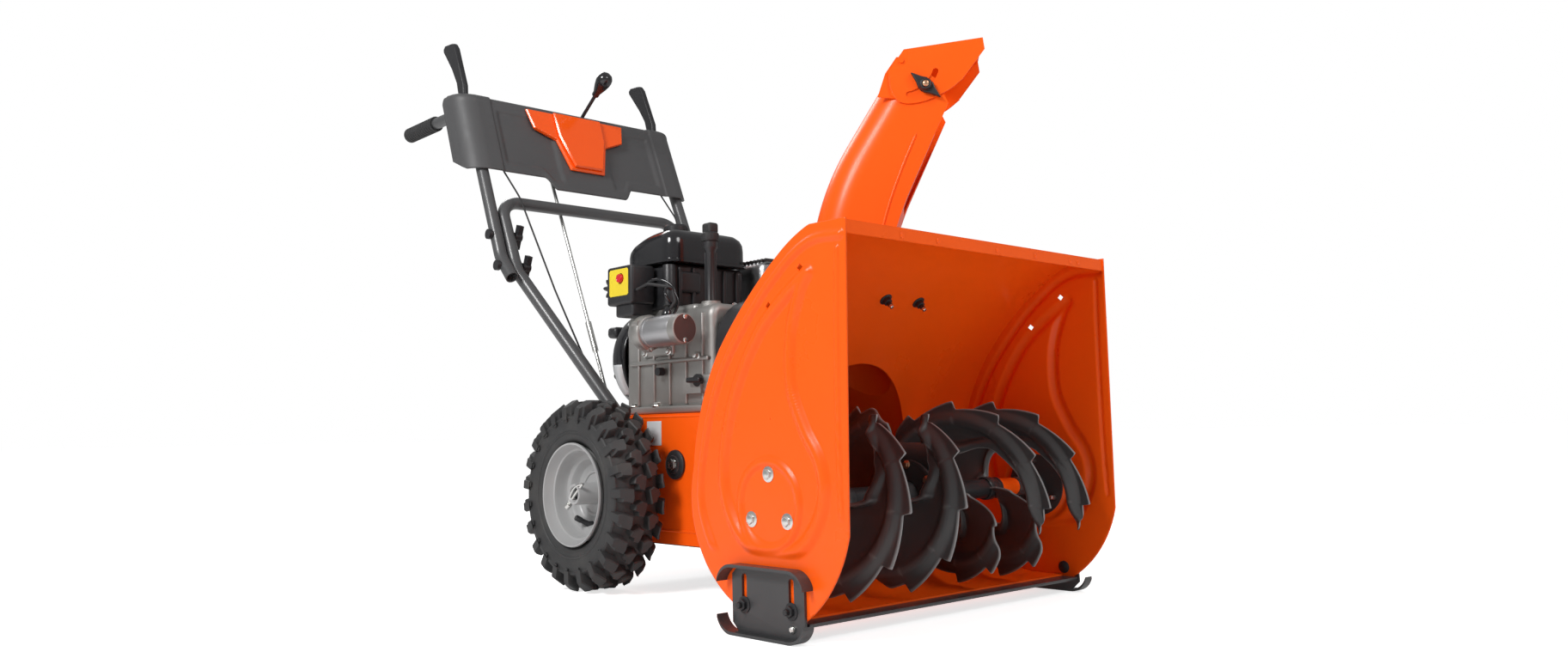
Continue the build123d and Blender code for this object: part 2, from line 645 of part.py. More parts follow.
def lower_handle():
    """One bent tube: foot, leg, crossbar, leg and foot."""
    def leg(side):
        return [(side * 142.6, -12, 226), (side * 142.6, 14, 298), (side * LOWER_X, 229, 576),
                (side * LOWER_X, lean(600) - 4, 600), (side * LOWER_X, lean(731), 731)]
    points = leg(-1) + list(reversed(leg(1)))
    bar = bent_tube(points, (50, 30, 30, 42, 42, 30, 30, 50), TUBE_RADIUS, TUBE_RADIUS - 2)
    bar -= handle_bolt_holes()
    return bar - rod((-160, -6, 250), (160, -6, 250), 4.1)


def handle_knobs():
    """Four through bolts, each with its wing knob on the inside."""
    knobs = []
    for _, side in SIDES:
        for y, z in HANDLE_BOLTS:
            bolt = rod((side * 272, y, z), (side * 204, y, z), 4)
            bolt += rod((side * 264.6, y, z), (side * 272, y, z), 10)
            bolt += rod((side * 213, y, z), (side * 197, y, z), 9)
            wing = Pos(0, y, z) * Rot(20, 0, 0) * block((198, 208), (-7, 7), (-24, 24))
            bolt += wing if side > 0 else mirror(wing, about=Plane.YZ)
            knobs.append(bolt)
    return Compound(children=knobs)


def hand_grips():
    grips = []
    for _, side in SIDES:
        x = side * UPPER_X
        grip = rod((x, 541, GRIP_Z), (x, REAR_Y, GRIP_Z), 17) - rod((x, 530, GRIP_Z), (x, REAR_Y - 6, GRIP_Z), 12.5)
        grips.append(fillet(grip.edges().group_by(Axis.Y)[-1], 7))
    return Compound(children=grips)


CONSOLE_HALF = 285
FACE_FOOT = (313, 799)
FACE_HEAD = (372, 943)


def console():
    """Hollow front panel, open at the back, that carries the levers."""
    shape = polygon((302, 771), FACE_HEAD, (382, 960), (446, 966), (452, 930), (385, 771))
    hollow = offset(shape, amount=-3) + polygon((330, 760), (392, 956), (470, 956), (470, 760))
    panel = side_slab(shape, -CONSOLE_HALF, CONSOLE_HALF)
    panel -= side_slab(hollow, -CONSOLE_HALF + 3, CONSOLE_HALF - 3)
    for _, side in SIDES:
        wedge = polygon((side * 87, 760), (side * 112, 796), (side * 300, 800), (side * 300, 760))
        panel -= front_slab(wedge, 280, 480)
        slot = sorted((side * (UPPER_X - 16), side * (UPPER_X + 16)))
        panel -= block(slot, (392, 480), (950, 980))
        for near, far in ((16.5, 19), (-19, -16.5)):
            ear = sorted((side * (UPPER_X + near), side * (UPPER_X + far)))
            panel += block(ear, (404, 432), (935, 976))
        panel -= rod((side * (UPPER_X - 22), *LEVER_PIVOT), (side * (UPPER_X + 22), *LEVER_PIVOT), 5.1)
    x, y, z = SPEED_PIVOT
    panel -= block((x - 12, x + 12), (381, 470), (940, 980))
    ear = polygon((y - 8, z - 14), (y + 18, z - 14), (y + 18, 961), (y + 11, 961), (y - 6, z + 6))
    for near, far in ((13, 16), (-16, -13)):
        panel += side_slab(ear, x + near, x + far)
    return panel - rod((x - 20, y, z), (x + 20, y, z), 4.1)


def face_point(z, out=0.0):
    """A point on the console's front face at a height, pushed out along its normal, as (y, z)."""
    run, rise = FACE_HEAD[0] - FACE_FOOT[0], FACE_HEAD[1] - FACE_FOOT[1]
    length = hypot(run, rise)
    y = FACE_FOOT[0] + (z - FACE_FOOT[1]) * run / rise
    return y - out * rise / length, z + out * run / length


def badge():
    """Plain shield-shaped badge on the middle of the console."""
    outline = polygon((-130, 968), (-118, 914), (-66, 892), (-45, 822), (45, 822), (66, 892), (118, 914), (130, 968))
    foot, head = face_point(800, 0.05), face_point(957, 0.05)
    over, under = face_point(957, 6), face_point(800, 6)
    skin = side_slab(polygon(foot, head, over, under), -140, 140)
    return skin & front_slab(outline, 280, 420)


def lever(side):
    """Flat paddle on a cross pin."""
    y, z = LEVER_PIVOT
    paddle = polygon((y - 9, z - 8), (y + 9, z - 8), (y + 24, z + 40), (y + 92, z + 132), (y + 86, z + 143),
                     (y + 52, z + 140), (y + 38, z + 128), (y - 8, z + 30))
    blade = side_slab(paddle, UPPER_X - 7, UPPER_X + 7)
    blade += rod((UPPER_X - 19, y, z), (UPPER_X + 19, y, z), 5)
    blade += rod((UPPER_X - 14, y, z), (UPPER_X + 14, y, z), 10)
    return blade if side > 0 else mirror(blade, about=Plane.YZ)


def speed_lever():
    x, y, z = SPEED_PIVOT
    bend, tip = (x, y + 21, 968), (x, 322, 1024)
    stick = bent_tube(((x, y, z), bend, tip), 14, 4)
    knob = turned(((0, 0), (6, 0), (9, 12), (15, 42), (13, 52), (7, 58), (0, 58)), (x, 340, 1011),
                  (0, tip[1] - bend[1], tip[2] - bend[2]))
    hub = rod((x - 12, y, z), (x + 12, y, z), 8)
    cross = rod((SHIFT_TOP[0] + 6, y, z), (x + 16, y, z), 4)
    web = polygon((y - 7, z + 3), (y + 3, z + 8), (SHIFT_TOP[1] + 6, SHIFT_TOP[2] + 2),
                  (SHIFT_TOP[1] - 2, SHIFT_TOP[2] - 7), (y - 3, z - 8))
    return joined(stick, knob, hub, cross, side_slab(web, SHIFT_TOP[0] + 5, SHIFT_TOP[0] + 10))


def shift_rod():
    """Push rod with its turnbuckle."""
    top, foot = Vector(*SHIFT_TOP), Vector(*SHIFT_BOTTOM)
    buckle = rod(tuple(foot + (top - foot) * 0.30), tuple(foot + (top - foot) * 0.39), 6)
    return rod(tuple(top), tuple(foot), 3.5) + buckle


def cables():
    """Control cables behind the panel and the starter's lead."""
    runs = []
    for _, side in SIDES:
        points = ((side * 206, 338, 812), (side * 202, 268, 736), (side * 165, 190, 540), (side * 116, 84, 304))
        runs.append(bent_tube(points, (60, 200), 1.8))
    lead = ((-140, -42, 520), (-136, -70, 528), (-112, -108, 520), (-118, -126, 492), (-134, -126, 472))
    runs.append(bent_tube(lead, (9, 14, 12), 3))
    return Compound(children=runs)


# ---- chute ----
CHUTE_HALF = 62
CHUTE_SHEET = 2
BEND_Z = 520                # top of the round-to-square transition
FLANGE_Z = COLLAR_Z + 4.4
HINGE_S, HINGE_Z = 112, 872
KNOB_S, KNOB_Z = 150, 826
SLOT_RADIUS = hypot(KNOB_S - HINGE_S, KNOB_Z - HINGE_Z)
CHUTE_PLACE = Pos(CHUTE_X, CHUTE_Y, 0) * Rot(0, 0, 180 + CHUTE_HEADING)


def channel_side(inset, beyond):
    """Side outline above the bend, as (distance along the heading, height)."""
    back = (13 + inset, 739)
    front = (113 - inset, 643)
    top = (84 + inset + 0.53 * beyond, 852 + 0.85 * beyond)
    edges = [
        TangentArc(back, (-56 + inset, BEND_Z), tangent=(-0.53, -0.85)),
        Line(back, top),
        Line(top, (186 - inset + 0.5 * beyond, 795 + 0.9 * beyond)),
        Line((186 - inset + 0.5 * beyond, 795 + 0.9 * beyond), front),
        ThreePointArc(front, (92 - inset, 590), (68 - inset, BEND_Z)),
        Line((68 - inset, BEND_Z), (-56 + inset, BEND_Z)),
    ]
    return make_face(Wire(edges))


def channel_solid(inset, beyond):
    """Channel body with its two rear corners rounded."""
    half = CHUTE_HALF - inset
    solid = side_slab(channel_side(inset, beyond), -half, half)
    rear = [e for e in solid.edges() if abs(abs(e.center().X) - half) < 0.1 and e.center().Y < 75
            and e.center().Z > BEND_Z + 40]
    rear = [e for e in rear if e.center().Y < e.center().Z * 0.42 - 240]
    return fillet(rear, 52 - inset)


def transition(inset):
    """Loft from the round flange to just inside the foot of the channel."""
    half = CHUTE_HALF - inset - 0.4
    foot = Plane(origin=(0, 0, FLANGE_Z - inset)) * Circle(74 - inset)
    head = Pos(0, 6) * Rectangle(2 * half, 2 * half)
    head = fillet(head.vertices().group_by(Axis.Y)[0], 52 - inset)
    head = fillet(head.vertices().group_by(Axis.Y)[-1], 6)
    return loft([foot, Plane(origin=(0, 0, BEND_Z)) * head])


def chute():
    """Channel on a round flange, open in front between two lips."""
    body = transition(0) + channel_solid(0, 0)
    ears = [side_slab(polygon((70, 812), (84, 852), (104, 880), (119, 880), (168, 838), (186, 795)),
                      *sorted((side * CHUTE_HALF, side * (CHUTE_HALF - CHUTE_SHEET)))) for _, side in SIDES]
    body -= transition(CHUTE_SHEET) + channel_solid(CHUTE_SHEET, 60)
    body += ears
    mouth = polygon((-40, 625), (40, 625), (56, 770), (56, 900), (-56, 900), (-56, 770))
    body -= front_slab(mouth, 100, 300)
    flange = rod((0, 0, FLANGE_Z), (0, 0, FLANGE_Z + 4), 81, 72)
    body += flange
    body -= rod((-70, HINGE_S, HINGE_Z), (70, HINGE_S, HINGE_Z), 4.06)
    body -= rod((40, KNOB_S, KNOB_Z), (70, KNOB_S, KNOB_Z), 4.06)
    return CHUTE_PLACE * body


def deflector():
    """Hood on two hinge pins with a curved slot on its right side."""
    outline = polygon((89, 854), (117, 892), (248, 904), (250, 884), (214, 838), (187, 817), (153, 802),
                      (125, 798), (106, 800), (92, 814))
    inner, outer = CHUTE_HALF + 0.6, CHUTE_HALF + 2.6
    hood = side_slab(outline, inner, outer) + side_slab(outline, -outer, -inner)
    hood += side_slab(polygon((117, 892), (248, 904), (248, 902), (118, 890)), -outer, outer)
    rest = degrees(atan2(KNOB_Z - HINGE_Z, KNOB_S - HINGE_S))
    slot = Pos(HINGE_S, HINGE_Z) * SlotArc(CenterArc((0, 0), SLOT_RADIUS, rest - 30, 60), 9.4)
    hood -= side_slab(slot, inner - 1, outer + 1)
    for _, side in SIDES:
        hood += rod((side * 58, HINGE_S, HINGE_Z), (side * (outer + 3), HINGE_S, HINGE_Z), 4)
    return CHUTE_PLACE * hood


def deflector_knob():
    """Diamond wing knob on a carriage bolt."""
    outer = CHUTE_HALF + 2.6
    bolt = rod((57, KNOB_S, KNOB_Z), (outer + 15, KNOB_S, KNOB_Z), 4)
    wing = polygon((-27, 0), (0, -10), (27, 0), (0, 10))
    knob = side_slab(Pos(KNOB_S, KNOB_Z) * Rot(0, 0, 42) * wing, outer + 0.6, outer + 10)
    knob += rod((outer + 0.6, KNOB_S, KNOB_Z), (outer + 13, KNOB_S, KNOB_Z), 9)
    return CHUTE_PLACE * (bolt + knob)


# ---- all parts ----
def mirrored_pair(make):
    return {f"{make.__name__}_{name}": make(side) for name, side in SIDES}


def parts():
    nodes = {make.__name__: make() for make in (
        housing_wall, impeller_housing, chute_collar, scraper_bar, housing_bolts, flange_bearings, gear_case,
        auger_shaft, shear_pins, worm_wheel, impeller, impeller_shaft, axle, wheel_pins, tractor_frame,
        bottom_cover, hex_shaft, friction_wheel, drive_plate, counter_gear, axle_gear, engine_block,
        engine_cover, fuel_tank, fuel_cap, blower_housing, recoil_handle, crankshaft, belts, belt_cover,
        muffler, starter_motor, control_box, start_button, choke_knob, oil_fill_tube, oil_cap, upper_handles,
        lower_handle, handle_knobs, hand_grips, console, badge, speed_lever, shift_rod, cables, chute,
        deflector, deflector_knob)}
    for make in (side_plate, skid_shoe, auger_half, lever):
        nodes.update(mirrored_pair(make))
    nodes["impeller_pulley"] = pulley(72, 22, -288, IMPELLER_Z, SHAFT_RADIUS)
    nodes["wheel_rims"] = Compound(children=[wheel_rim(side) for _, side in SIDES])
    right_tyre = tyre(-1)
    nodes["tyres"] = Compound(children=[right_tyre, mirror(right_tyre, about=Plane.YZ)])
    return nodes


def main():
    os.makedirs("parts", exist_ok=True)
    to_origin = Pos(0, -ORIGIN_Y, 0)
    for name, solid in parts().items():
        export_step(to_origin * solid, f"parts/{name}.step")


main()
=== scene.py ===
"""Looks of the two stage snowblower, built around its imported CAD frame. Working sizes are millimetres."""
import bpy
import bmesh
import json
from math import atan2, cos, hypot, pi, radians, sin, sqrt
from mathutils import Matrix, Vector


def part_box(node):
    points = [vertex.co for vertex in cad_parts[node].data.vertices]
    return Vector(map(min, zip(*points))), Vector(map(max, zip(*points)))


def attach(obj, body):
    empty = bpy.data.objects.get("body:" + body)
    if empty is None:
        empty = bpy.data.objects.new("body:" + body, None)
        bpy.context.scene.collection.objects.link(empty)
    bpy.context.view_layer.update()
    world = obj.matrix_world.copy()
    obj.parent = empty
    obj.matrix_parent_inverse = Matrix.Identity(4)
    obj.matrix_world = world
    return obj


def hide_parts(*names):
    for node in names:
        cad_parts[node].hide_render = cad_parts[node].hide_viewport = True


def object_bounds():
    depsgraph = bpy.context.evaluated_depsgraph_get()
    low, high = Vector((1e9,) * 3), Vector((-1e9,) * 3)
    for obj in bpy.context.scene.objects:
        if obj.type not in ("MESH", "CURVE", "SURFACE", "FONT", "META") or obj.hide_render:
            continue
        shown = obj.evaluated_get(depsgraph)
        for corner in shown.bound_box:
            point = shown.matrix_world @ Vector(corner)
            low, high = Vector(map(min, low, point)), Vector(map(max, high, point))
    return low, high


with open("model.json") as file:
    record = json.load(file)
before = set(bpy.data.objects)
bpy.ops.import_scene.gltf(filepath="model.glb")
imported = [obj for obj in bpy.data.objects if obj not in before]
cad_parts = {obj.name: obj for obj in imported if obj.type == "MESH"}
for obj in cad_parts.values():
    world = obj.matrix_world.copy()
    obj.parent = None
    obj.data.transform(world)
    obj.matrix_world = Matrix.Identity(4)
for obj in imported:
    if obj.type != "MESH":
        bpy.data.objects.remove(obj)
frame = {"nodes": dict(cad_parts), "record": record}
CAD_BOX = [list(corner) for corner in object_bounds()]
MM = 0.001
X, Y, Z = Vector((1, 0, 0)), Vector((0, 1, 0)), Vector((0, 0, 1))


def box(node):
    """Lowest corner, highest corner and middle of a CAD node, in millimetres."""
    low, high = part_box(node)
    return low / MM, high / MM, (low + high) / 2 / MM


# ---- meshes ----
class Shape:
    """Vertices in millimetres and faces, gathered before they become one object."""

    def __init__(self):
        self.points, self.faces = [], []

    def add(self, points, faces):
        base = len(self.points)
        self.points += [Vector(p) for p in points]
        self.faces += [[base + i for i in face] for face in faces]
        return self

    def join(self, other, matrix=Matrix()):
        return self.add([matrix @ p for p in other.points], other.faces)

    def mirrored(self):
        flipped = Shape()
        flipped.points = [Vector((-p.x, p.y, p.z)) for p in self.points]
        flipped.faces = [face[::-1] for face in self.faces]
        return flipped


def both_sides(shape):
    """A shape and its mirror image across the middle of the machine."""
    return Shape().join(shape).join(shape.mirrored())


def surface(fn, across, along, wrap_across=False):
    """Grid of quads through fn(u, v), u and v from 0 to 1."""
    nu = across + (not wrap_across)
    points = [fn(i / across, j / along) for j in range(along + 1) for i in range(nu)]
    faces = [(j * nu + i, j * nu + (i + 1) % nu, (j + 1) * nu + (i + 1) % nu, (j + 1) * nu + i)
             for j in range(along) for i in range(across)]
    return Shape().add(points, faces)


def ring_faces(rings, count):
    """Quads between rings of points, and a face on each end."""
    faces = [(k * count + i, k * count + (i + 1) % count, (k + 1) * count + (i + 1) % count, (k + 1) * count + i)
             for k in range(rings - 1) for i in range(count)]
    return faces + [list(range(count))[::-1], [(rings - 1) * count + i for i in range(count)]]


def frame_along(direction, hint=Z):
    """Two unit vectors square to a direction."""
    direction = Vector(direction).normalized()
    if abs(direction.dot(hint)) > 0.95:
        hint = X
    first = direction.cross(hint).normalized()
    return first, direction.cross(first).normalized()


def lathe(profile, origin, direction, steps=48):
    """Turn a profile of (radius, distance along the axis) points."""
    axis = Vector(direction).normalized()
    a, b = frame_along(axis)
    origin = Vector(origin)

    def at(u, v):
        radius, run = profile[round(v * (len(profile) - 1))]
        angle = 2 * pi * u
        return origin + axis * run + (a * cos(angle) + b * sin(angle)) * radius

    return surface(at, steps, len(profile) - 1, wrap_across=True)


def prism(outline, depth, place, direction, up, bevel=0.0):
    """Outline of (right, up) points pushed along a direction, its rims cut back by a small bevel."""
    axis = Vector(direction).normalized()
    up = (Vector(up) - axis * Vector(up).dot(axis)).normalized()
    right = up.cross(axis)
    middle = Vector((sum(p[0] for p in outline), sum(p[1] for p in outline))) / len(outline)
    rings = [(-bevel, 0), (0, bevel), (0, depth - bevel), (-bevel, depth)] if bevel else [(0, 0), (0, depth)]
    points, count = [], len(outline)
    for inset, run in rings:
        for x, y in outline:
            away = Vector((x, y)) - middle
            spot = middle + away * (1 + inset / max(away.length, 1e-6))
            points.append(Vector(place) + right * spot.x + up * spot.y + axis * run)
    return Shape().add(points, ring_faces(len(rings), count))


def ring_points(radius, count, turn=0.0):
    return [(radius * cos(2 * pi * i / count + turn), radius * sin(2 * pi * i / count + turn)) for i in range(count)]


def turned(*degrees):
    return [radians(angle) for angle in degrees]


def turns(count):
    """Evenly spaced angles."""
    return [2 * pi * k / count for k in range(count)]


def circle(centre, radius, angles, axis="y"):
    """Each angle with its point on a circle round an axis through the centre."""
    x, y, z = centre
    for a in angles:
        u, v = radius * cos(a), radius * sin(a)
        yield a, {"x": (x, y + u, z + v), "y": (x + u, y, z + v), "z": (x + u, y + v, z)}[axis]


def bar(half_width, half_height, depth, place, direction, up, bevel):
    """Small rectangular block standing on its place."""
    w, h = half_width, half_height
    return prism([(-w, -h), (w, -h), (w, h), (-w, h)], depth, place, direction, up, bevel)


def hex_bolt(place, direction, size=13, height=5.5, flange=0):
    """Hexagon head on a washer face, with a slightly domed top."""
    a, _ = frame_along(direction)
    radius = size / 2 / cos(pi / 6)
    bolt = prism(ring_points(radius, 6), height, place, direction, a, bevel=0.6)
    if flange:
        bolt.join(lathe([(0, 0), (flange, 0), (flange, 1.0), (radius * 0.95, 2.2), (0, 2.2)], place, direction, 32))
    top = Vector(place) + Vector(direction).normalized() * height
    return bolt.join(lathe([(size * 0.42, 0), (size * 0.36, 0.35), (0, 0.45)], top, direction, 24))


def tube(path, radius, steps=12):
    """Round section swept along a path without twist. The radius may be a list."""
    path = [Vector(p) for p in path]
    count = len(path)
    tangents = [(path[min(i + 1, count - 1)] - path[max(i - 1, 0)]).normalized() for i in range(count)]
    side, _ = frame_along(tangents[0])
    frames = []
    for tangent in tangents:
        side = (side - tangent * side.dot(tangent)).normalized()
        frames.append((side.copy(), tangent.cross(side)))
    radii = radius if isinstance(radius, (list, tuple)) else [radius] * count
    section = ring_points(1, steps)
    points = [path[i] + frames[i][0] * (x * radii[i]) + frames[i][1] * (y * radii[i])
              for i in range(count) for x, y in section]
    return Shape().add(points, ring_faces(count, steps))


def smooth_path(points, per_run=8):
    """Catmull-Rom curve through the points."""
    pts = [Vector(p) for p in points]
    pts = [pts[0] * 2 - pts[1]] + pts + [pts[-1] * 2 - pts[-2]]
    path = []
    for i in range(1, len(pts) - 2):
        a, b, c, d = pts[i - 1:i + 3]
        for k in range(per_run):
            t = k / per_run
            path.append(0.5 * (2 * b + (c - a) * t + (2 * a - 5 * b + 4 * c - d) * t * t
                               + (3 * b - a - 3 * c + d) * t ** 3))
    return path + [pts[-2]]


def rounded_box(low, high, radius, segments=4):
    """Box with all edges rounded."""
    low, high = Vector(low), Vector(high)
    radius = min(radius, *[(high[i] - low[i]) / 2 - 0.01 for i in range(3)])
    mesh = bmesh.new()
    bmesh.ops.create_cube(mesh, size=1)
    for vertex in mesh.verts:
        vertex.co = Vector([low[i] if vertex.co[i] < 0 else high[i] for i in range(3)])
    bmesh.ops.bevel(mesh, geom=list(mesh.edges), offset=radius, segments=segments, profile=0.5, affect="EDGES")
    mesh.verts.index_update()
    shape = Shape().add([v.co.copy() for v in mesh.verts], [[v.index for v in f.verts] for f in mesh.faces])
    mesh.free()
    return shape


def piece(name, shape, look, body="machine", smooth=35, replaces=(), thickness=0, bevel=0):
    """Make the object, shade it, give it its material and let it ride on its body."""
    mesh = bpy.data.meshes.new(name)
    mesh.from_pydata([p * MM for p in shape.points], [], shape.faces)
    work = bmesh.new()
    work.from_mesh(mesh)
    bmesh.ops.remove_doubles(work, verts=list(work.verts), dist=1e-6)
    bmesh.ops.recalc_face_normals(work, faces=list(work.faces))
    work.to_mesh(mesh)
    work.free()
    item = bpy.data.objects.new(name, mesh)
    bpy.context.scene.collection.objects.link(item)
    mesh.materials.append(look)
    if thickness:
        modifier = item.modifiers.new("sheet", "SOLIDIFY")
        modifier.thickness, modifier.offset = thickness * MM, 0
    if bevel:
        modifier = item.modifiers.new("edges", "BEVEL")
        modifier.width, modifier.segments, modifier.limit_method = bevel * MM, 2, "ANGLE"
        modifier.angle_limit = radians(40)
    mesh.polygons.foreach_set("use_smooth", [True] * len(mesh.polygons))
    if smooth:
        mesh.set_sharp_from_angle(angle=radians(smooth))
    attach(item, body)
    if replaces:
        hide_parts(*replaces)
    return item


# ---- materials ----
SLOTS = {}


def material(name, color, roughness, metallic=0.0, second=None, mottle=0.35, mottle_scale=9.0, grain=0.0,
             grain_scale=900.0, wear=0.0, wear_color=(0.5, 0.5, 0.5), coat=0.0, streaks=None, dust=0.0, specular=0.5):
    """Painted, moulded, cast or turned surface: mottled colour, uneven gloss, fine grain and worn edges."""
    item = SLOTS[name] = bpy.data.materials.new(name)
    item.use_nodes = True
    nodes, links = item.node_tree.nodes, item.node_tree.links
    shader = nodes["Principled BSDF"]
    shader.inputs["Metallic"].default_value = metallic
    shader.inputs["Coat Weight"].default_value = coat
    shader.inputs["Coat Roughness"].default_value = 0.12
    shader.inputs["Specular IOR Level"].default_value = specular
    place = nodes.new("ShaderNodeTexCoord")
    scaled = nodes.new("ShaderNodeMapping")
    scaled.inputs["Scale"].default_value = streaks or (1, 1, 1)
    links.new(place.outputs["Object"], scaled.inputs["Vector"])

    def noise(scale, detail, source=scaled):
        texture = nodes.new("ShaderNodeTexNoise")
        texture.inputs["Scale"].default_value = scale
        texture.inputs["Detail"].default_value = detail
        links.new(source.outputs[0] if source is scaled else source.outputs["Object"], texture.inputs["Vector"])
        return texture.outputs["Fac"]

    def ramp(value, low, high, start, end):
        steps = nodes.new("ShaderNodeMapRange")
        steps.inputs["From Min"].default_value, steps.inputs["From Max"].default_value = low, high
        steps.inputs["To Min"].default_value, steps.inputs["To Max"].default_value = start, end
        links.new(value, steps.inputs["Value"])
        return steps.outputs["Result"]

    def mix(factor, first, other):
        blend = nodes.new("ShaderNodeMix")
        blend.data_type = "RGBA"
        links.new(factor, blend.inputs["Factor"])
        for socket, value in ((blend.inputs[6], first), (blend.inputs[7], other)):
            if isinstance(value, tuple):
                socket.default_value = (*value, 1)
            else:
                links.new(value, socket)
        return blend.outputs[2]

    second = second or tuple(c * 0.82 for c in color)
    tone = mix(ramp(noise(mottle_scale, 5), 0.35, 0.7, 0, mottle), color, second)
    if dust:
        tone = mix(ramp(noise(mottle_scale * 2.3, 8, place), 0.5, 0.75, 0, dust), tone, (0.30, 0.27, 0.23))
    if wear:
        edge = nodes.new("ShaderNodeNewGeometry")
        tone = mix(ramp(edge.outputs["Pointiness"], 0.52, 0.60, 0, wear), tone, wear_color)
    links.new(tone, shader.inputs["Base Color"])
    links.new(ramp(noise(mottle_scale * 3, 6), 0.3, 0.7, roughness * 0.88, min(1, roughness * 1.15)),
              shader.inputs["Roughness"])
    if grain:
        bump = nodes.new("ShaderNodeBump")
        bump.inputs["Strength"].default_value = min(1, grain)
        bump.inputs["Distance"].default_value = 0.0004
        links.new(noise(grain_scale, 3), bump.inputs["Height"])
        links.new(bump.outputs["Normal"], shader.inputs["Normal"])
    return item


ORANGE = material("orange_paint", (0.98, 0.112, 0.005), 0.30, second=(0.95, 0.102, 0.004), mottle=0.5,
                  mottle_scale=4, grain=0.05, grain_scale=420, coat=0.06, specular=0.22, wear=0.12,
                  wear_color=(0.75, 0.08, 0.0))
BLACK = material("black_paint", (0.022, 0.022, 0.024), 0.38, second=(0.035, 0.035, 0.037), grain=0.16,
                 grain_scale=600, wear=0.10, wear_color=(0.22, 0.22, 0.22), coat=0.1)
ARM_PAINT = material("auger_paint", (0.044, 0.044, 0.045), 0.40, second=(0.056, 0.056, 0.057), grain=0.12,
                     grain_scale=500, wear=0.55, wear_color=(0.42, 0.42, 0.42), mottle_scale=14)
material("tube_paint", (0.065, 0.066, 0.068), 0.34, second=(0.085, 0.086, 0.088), grain=0.12, grain_scale=500,
         coat=0.2)
CONSOLE = material("console_plastic", (0.066, 0.066, 0.068), 0.52, second=(0.078, 0.078, 0.08), grain=0.35,
                   grain_scale=1500)
PLASTIC = material("black_plastic", (0.016, 0.016, 0.018), 0.42, second=(0.026, 0.026, 0.028), grain=0.3,
                   grain_scale=1400)
GLOSS_BLACK = material("gloss_plastic", (0.012, 0.012, 0.014), 0.16, second=(0.02, 0.02, 0.022), grain=0.04,
                       grain_scale=300, coat=0.3)
BADGE = material("badge_plastic", (0.95, 0.105, 0.006), 0.16, second=(0.90, 0.09, 0.004), grain=0.02,
                 grain_scale=200, coat=0.25, specular=0.35)
SATIN = material("drawn_can", (0.42, 0.42, 0.43), 0.42, metallic=0.9, second=(0.34, 0.34, 0.35), grain=0.1,
                 grain_scale=700)
COPPER = material("copper_bolts", (0.62, 0.36, 0.22), 0.34, metallic=1, second=(0.50, 0.27, 0.15), grain=0.1)
GRIP = material("grip_rubber", (0.018, 0.018, 0.019), 0.62, second=(0.03, 0.03, 0.03), grain=0.4, grain_scale=1100)
RUBBER = material("tyre_rubber", (0.024, 0.024, 0.025), 0.60, second=(0.042, 0.041, 0.040), grain=0.4,
                  grain_scale=700, dust=0.06)
RIM = material("rim_paint", (0.36, 0.36, 0.36), 0.38, second=(0.33, 0.33, 0.33), grain=0.12, grain_scale=500,
               coat=0.15)
ZINC = material("zinc", (0.72, 0.72, 0.70), 0.28, metallic=1, second=(0.60, 0.60, 0.56), grain=0.1,
                grain_scale=800)
STEEL = material("steel", (0.48, 0.48, 0.49), 0.32, metallic=1, second=(0.36, 0.36, 0.37), grain=0.15,
                 streaks=(1, 12, 12))
IRON = material("cast_iron", (0.035, 0.035, 0.036), 0.55, second=(0.055, 0.055, 0.056), grain=0.6,
                grain_scale=350)
ALUMINIUM = material("cast_aluminium", (0.40, 0.39, 0.375), 0.48, metallic=0.75, second=(0.27, 0.265, 0.25),
                     grain=0.5, grain_scale=420, mottle=0.7)
BRONZE = material("bronze", (0.60, 0.30, 0.13), 0.34, metallic=1, second=(0.48, 0.25, 0.12), grain=0.1)
RED = material("red_plastic", (0.62, 0.008, 0.02), 0.22, second=(0.52, 0.006, 0.015), grain=0.03, coat=0.4)
material("belt_rubber", (0.02, 0.02, 0.02), 0.8, second=(0.04, 0.04, 0.04), grain=0.8, grain_scale=800)
YELLOW = material("yellow_plate", (0.80, 0.62, 0.03), 0.35, second=(0.70, 0.54, 0.03), grain=0.05)
PALE = material("pale_plate", (0.62, 0.63, 0.64), 0.35, second=(0.52, 0.53, 0.54), grain=0.05)

def dress_cad_nodes():
    """Every CAD node that stays takes the detailed material of its slot."""
    for part in frame["record"]["subparts"]:
        mesh = frame["nodes"][part["node"]].data
        mesh.materials.clear()
        mesh.materials.append(SLOTS[part["material_slot"]])


# ---- augers ----
SHAFT = box("auger_shaft")[2]
AUGER_RADIUS = (box("auger_half_left")[1].z - box("auger_half_left")[0].z) / 2
TOOTH_PITCH = 33           # degrees
TOOTH_DEPTH = 13


def auger_spot(radius, angle, x):
    """Point at an angle counted from the bottom through the rear, the top and the front."""
    a = radians(angle)
    return Vector((x, SHAFT.y + radius * sin(a), SHAFT.z - radius * cos(a)))


def between(value, stops):
    """Straight-line lookup in (position, value) stops, eased between them."""
    for (p0, v0), (p1, v1) in zip(stops, stops[1:]):
        if value <= p1:
            t = max(0.0, (value - p0) / (p1 - p0))
            return v0 + (v1 - v0) * t * t * (3 - 2 * t)
    return stops[-1][1]


def hump(distance, centre, half):
    """Smooth bump of height 1 at a distance from an edge."""
    away = abs(distance - centre) / half
    return (1 - away * away) ** 2 if away < 1 else 0.0


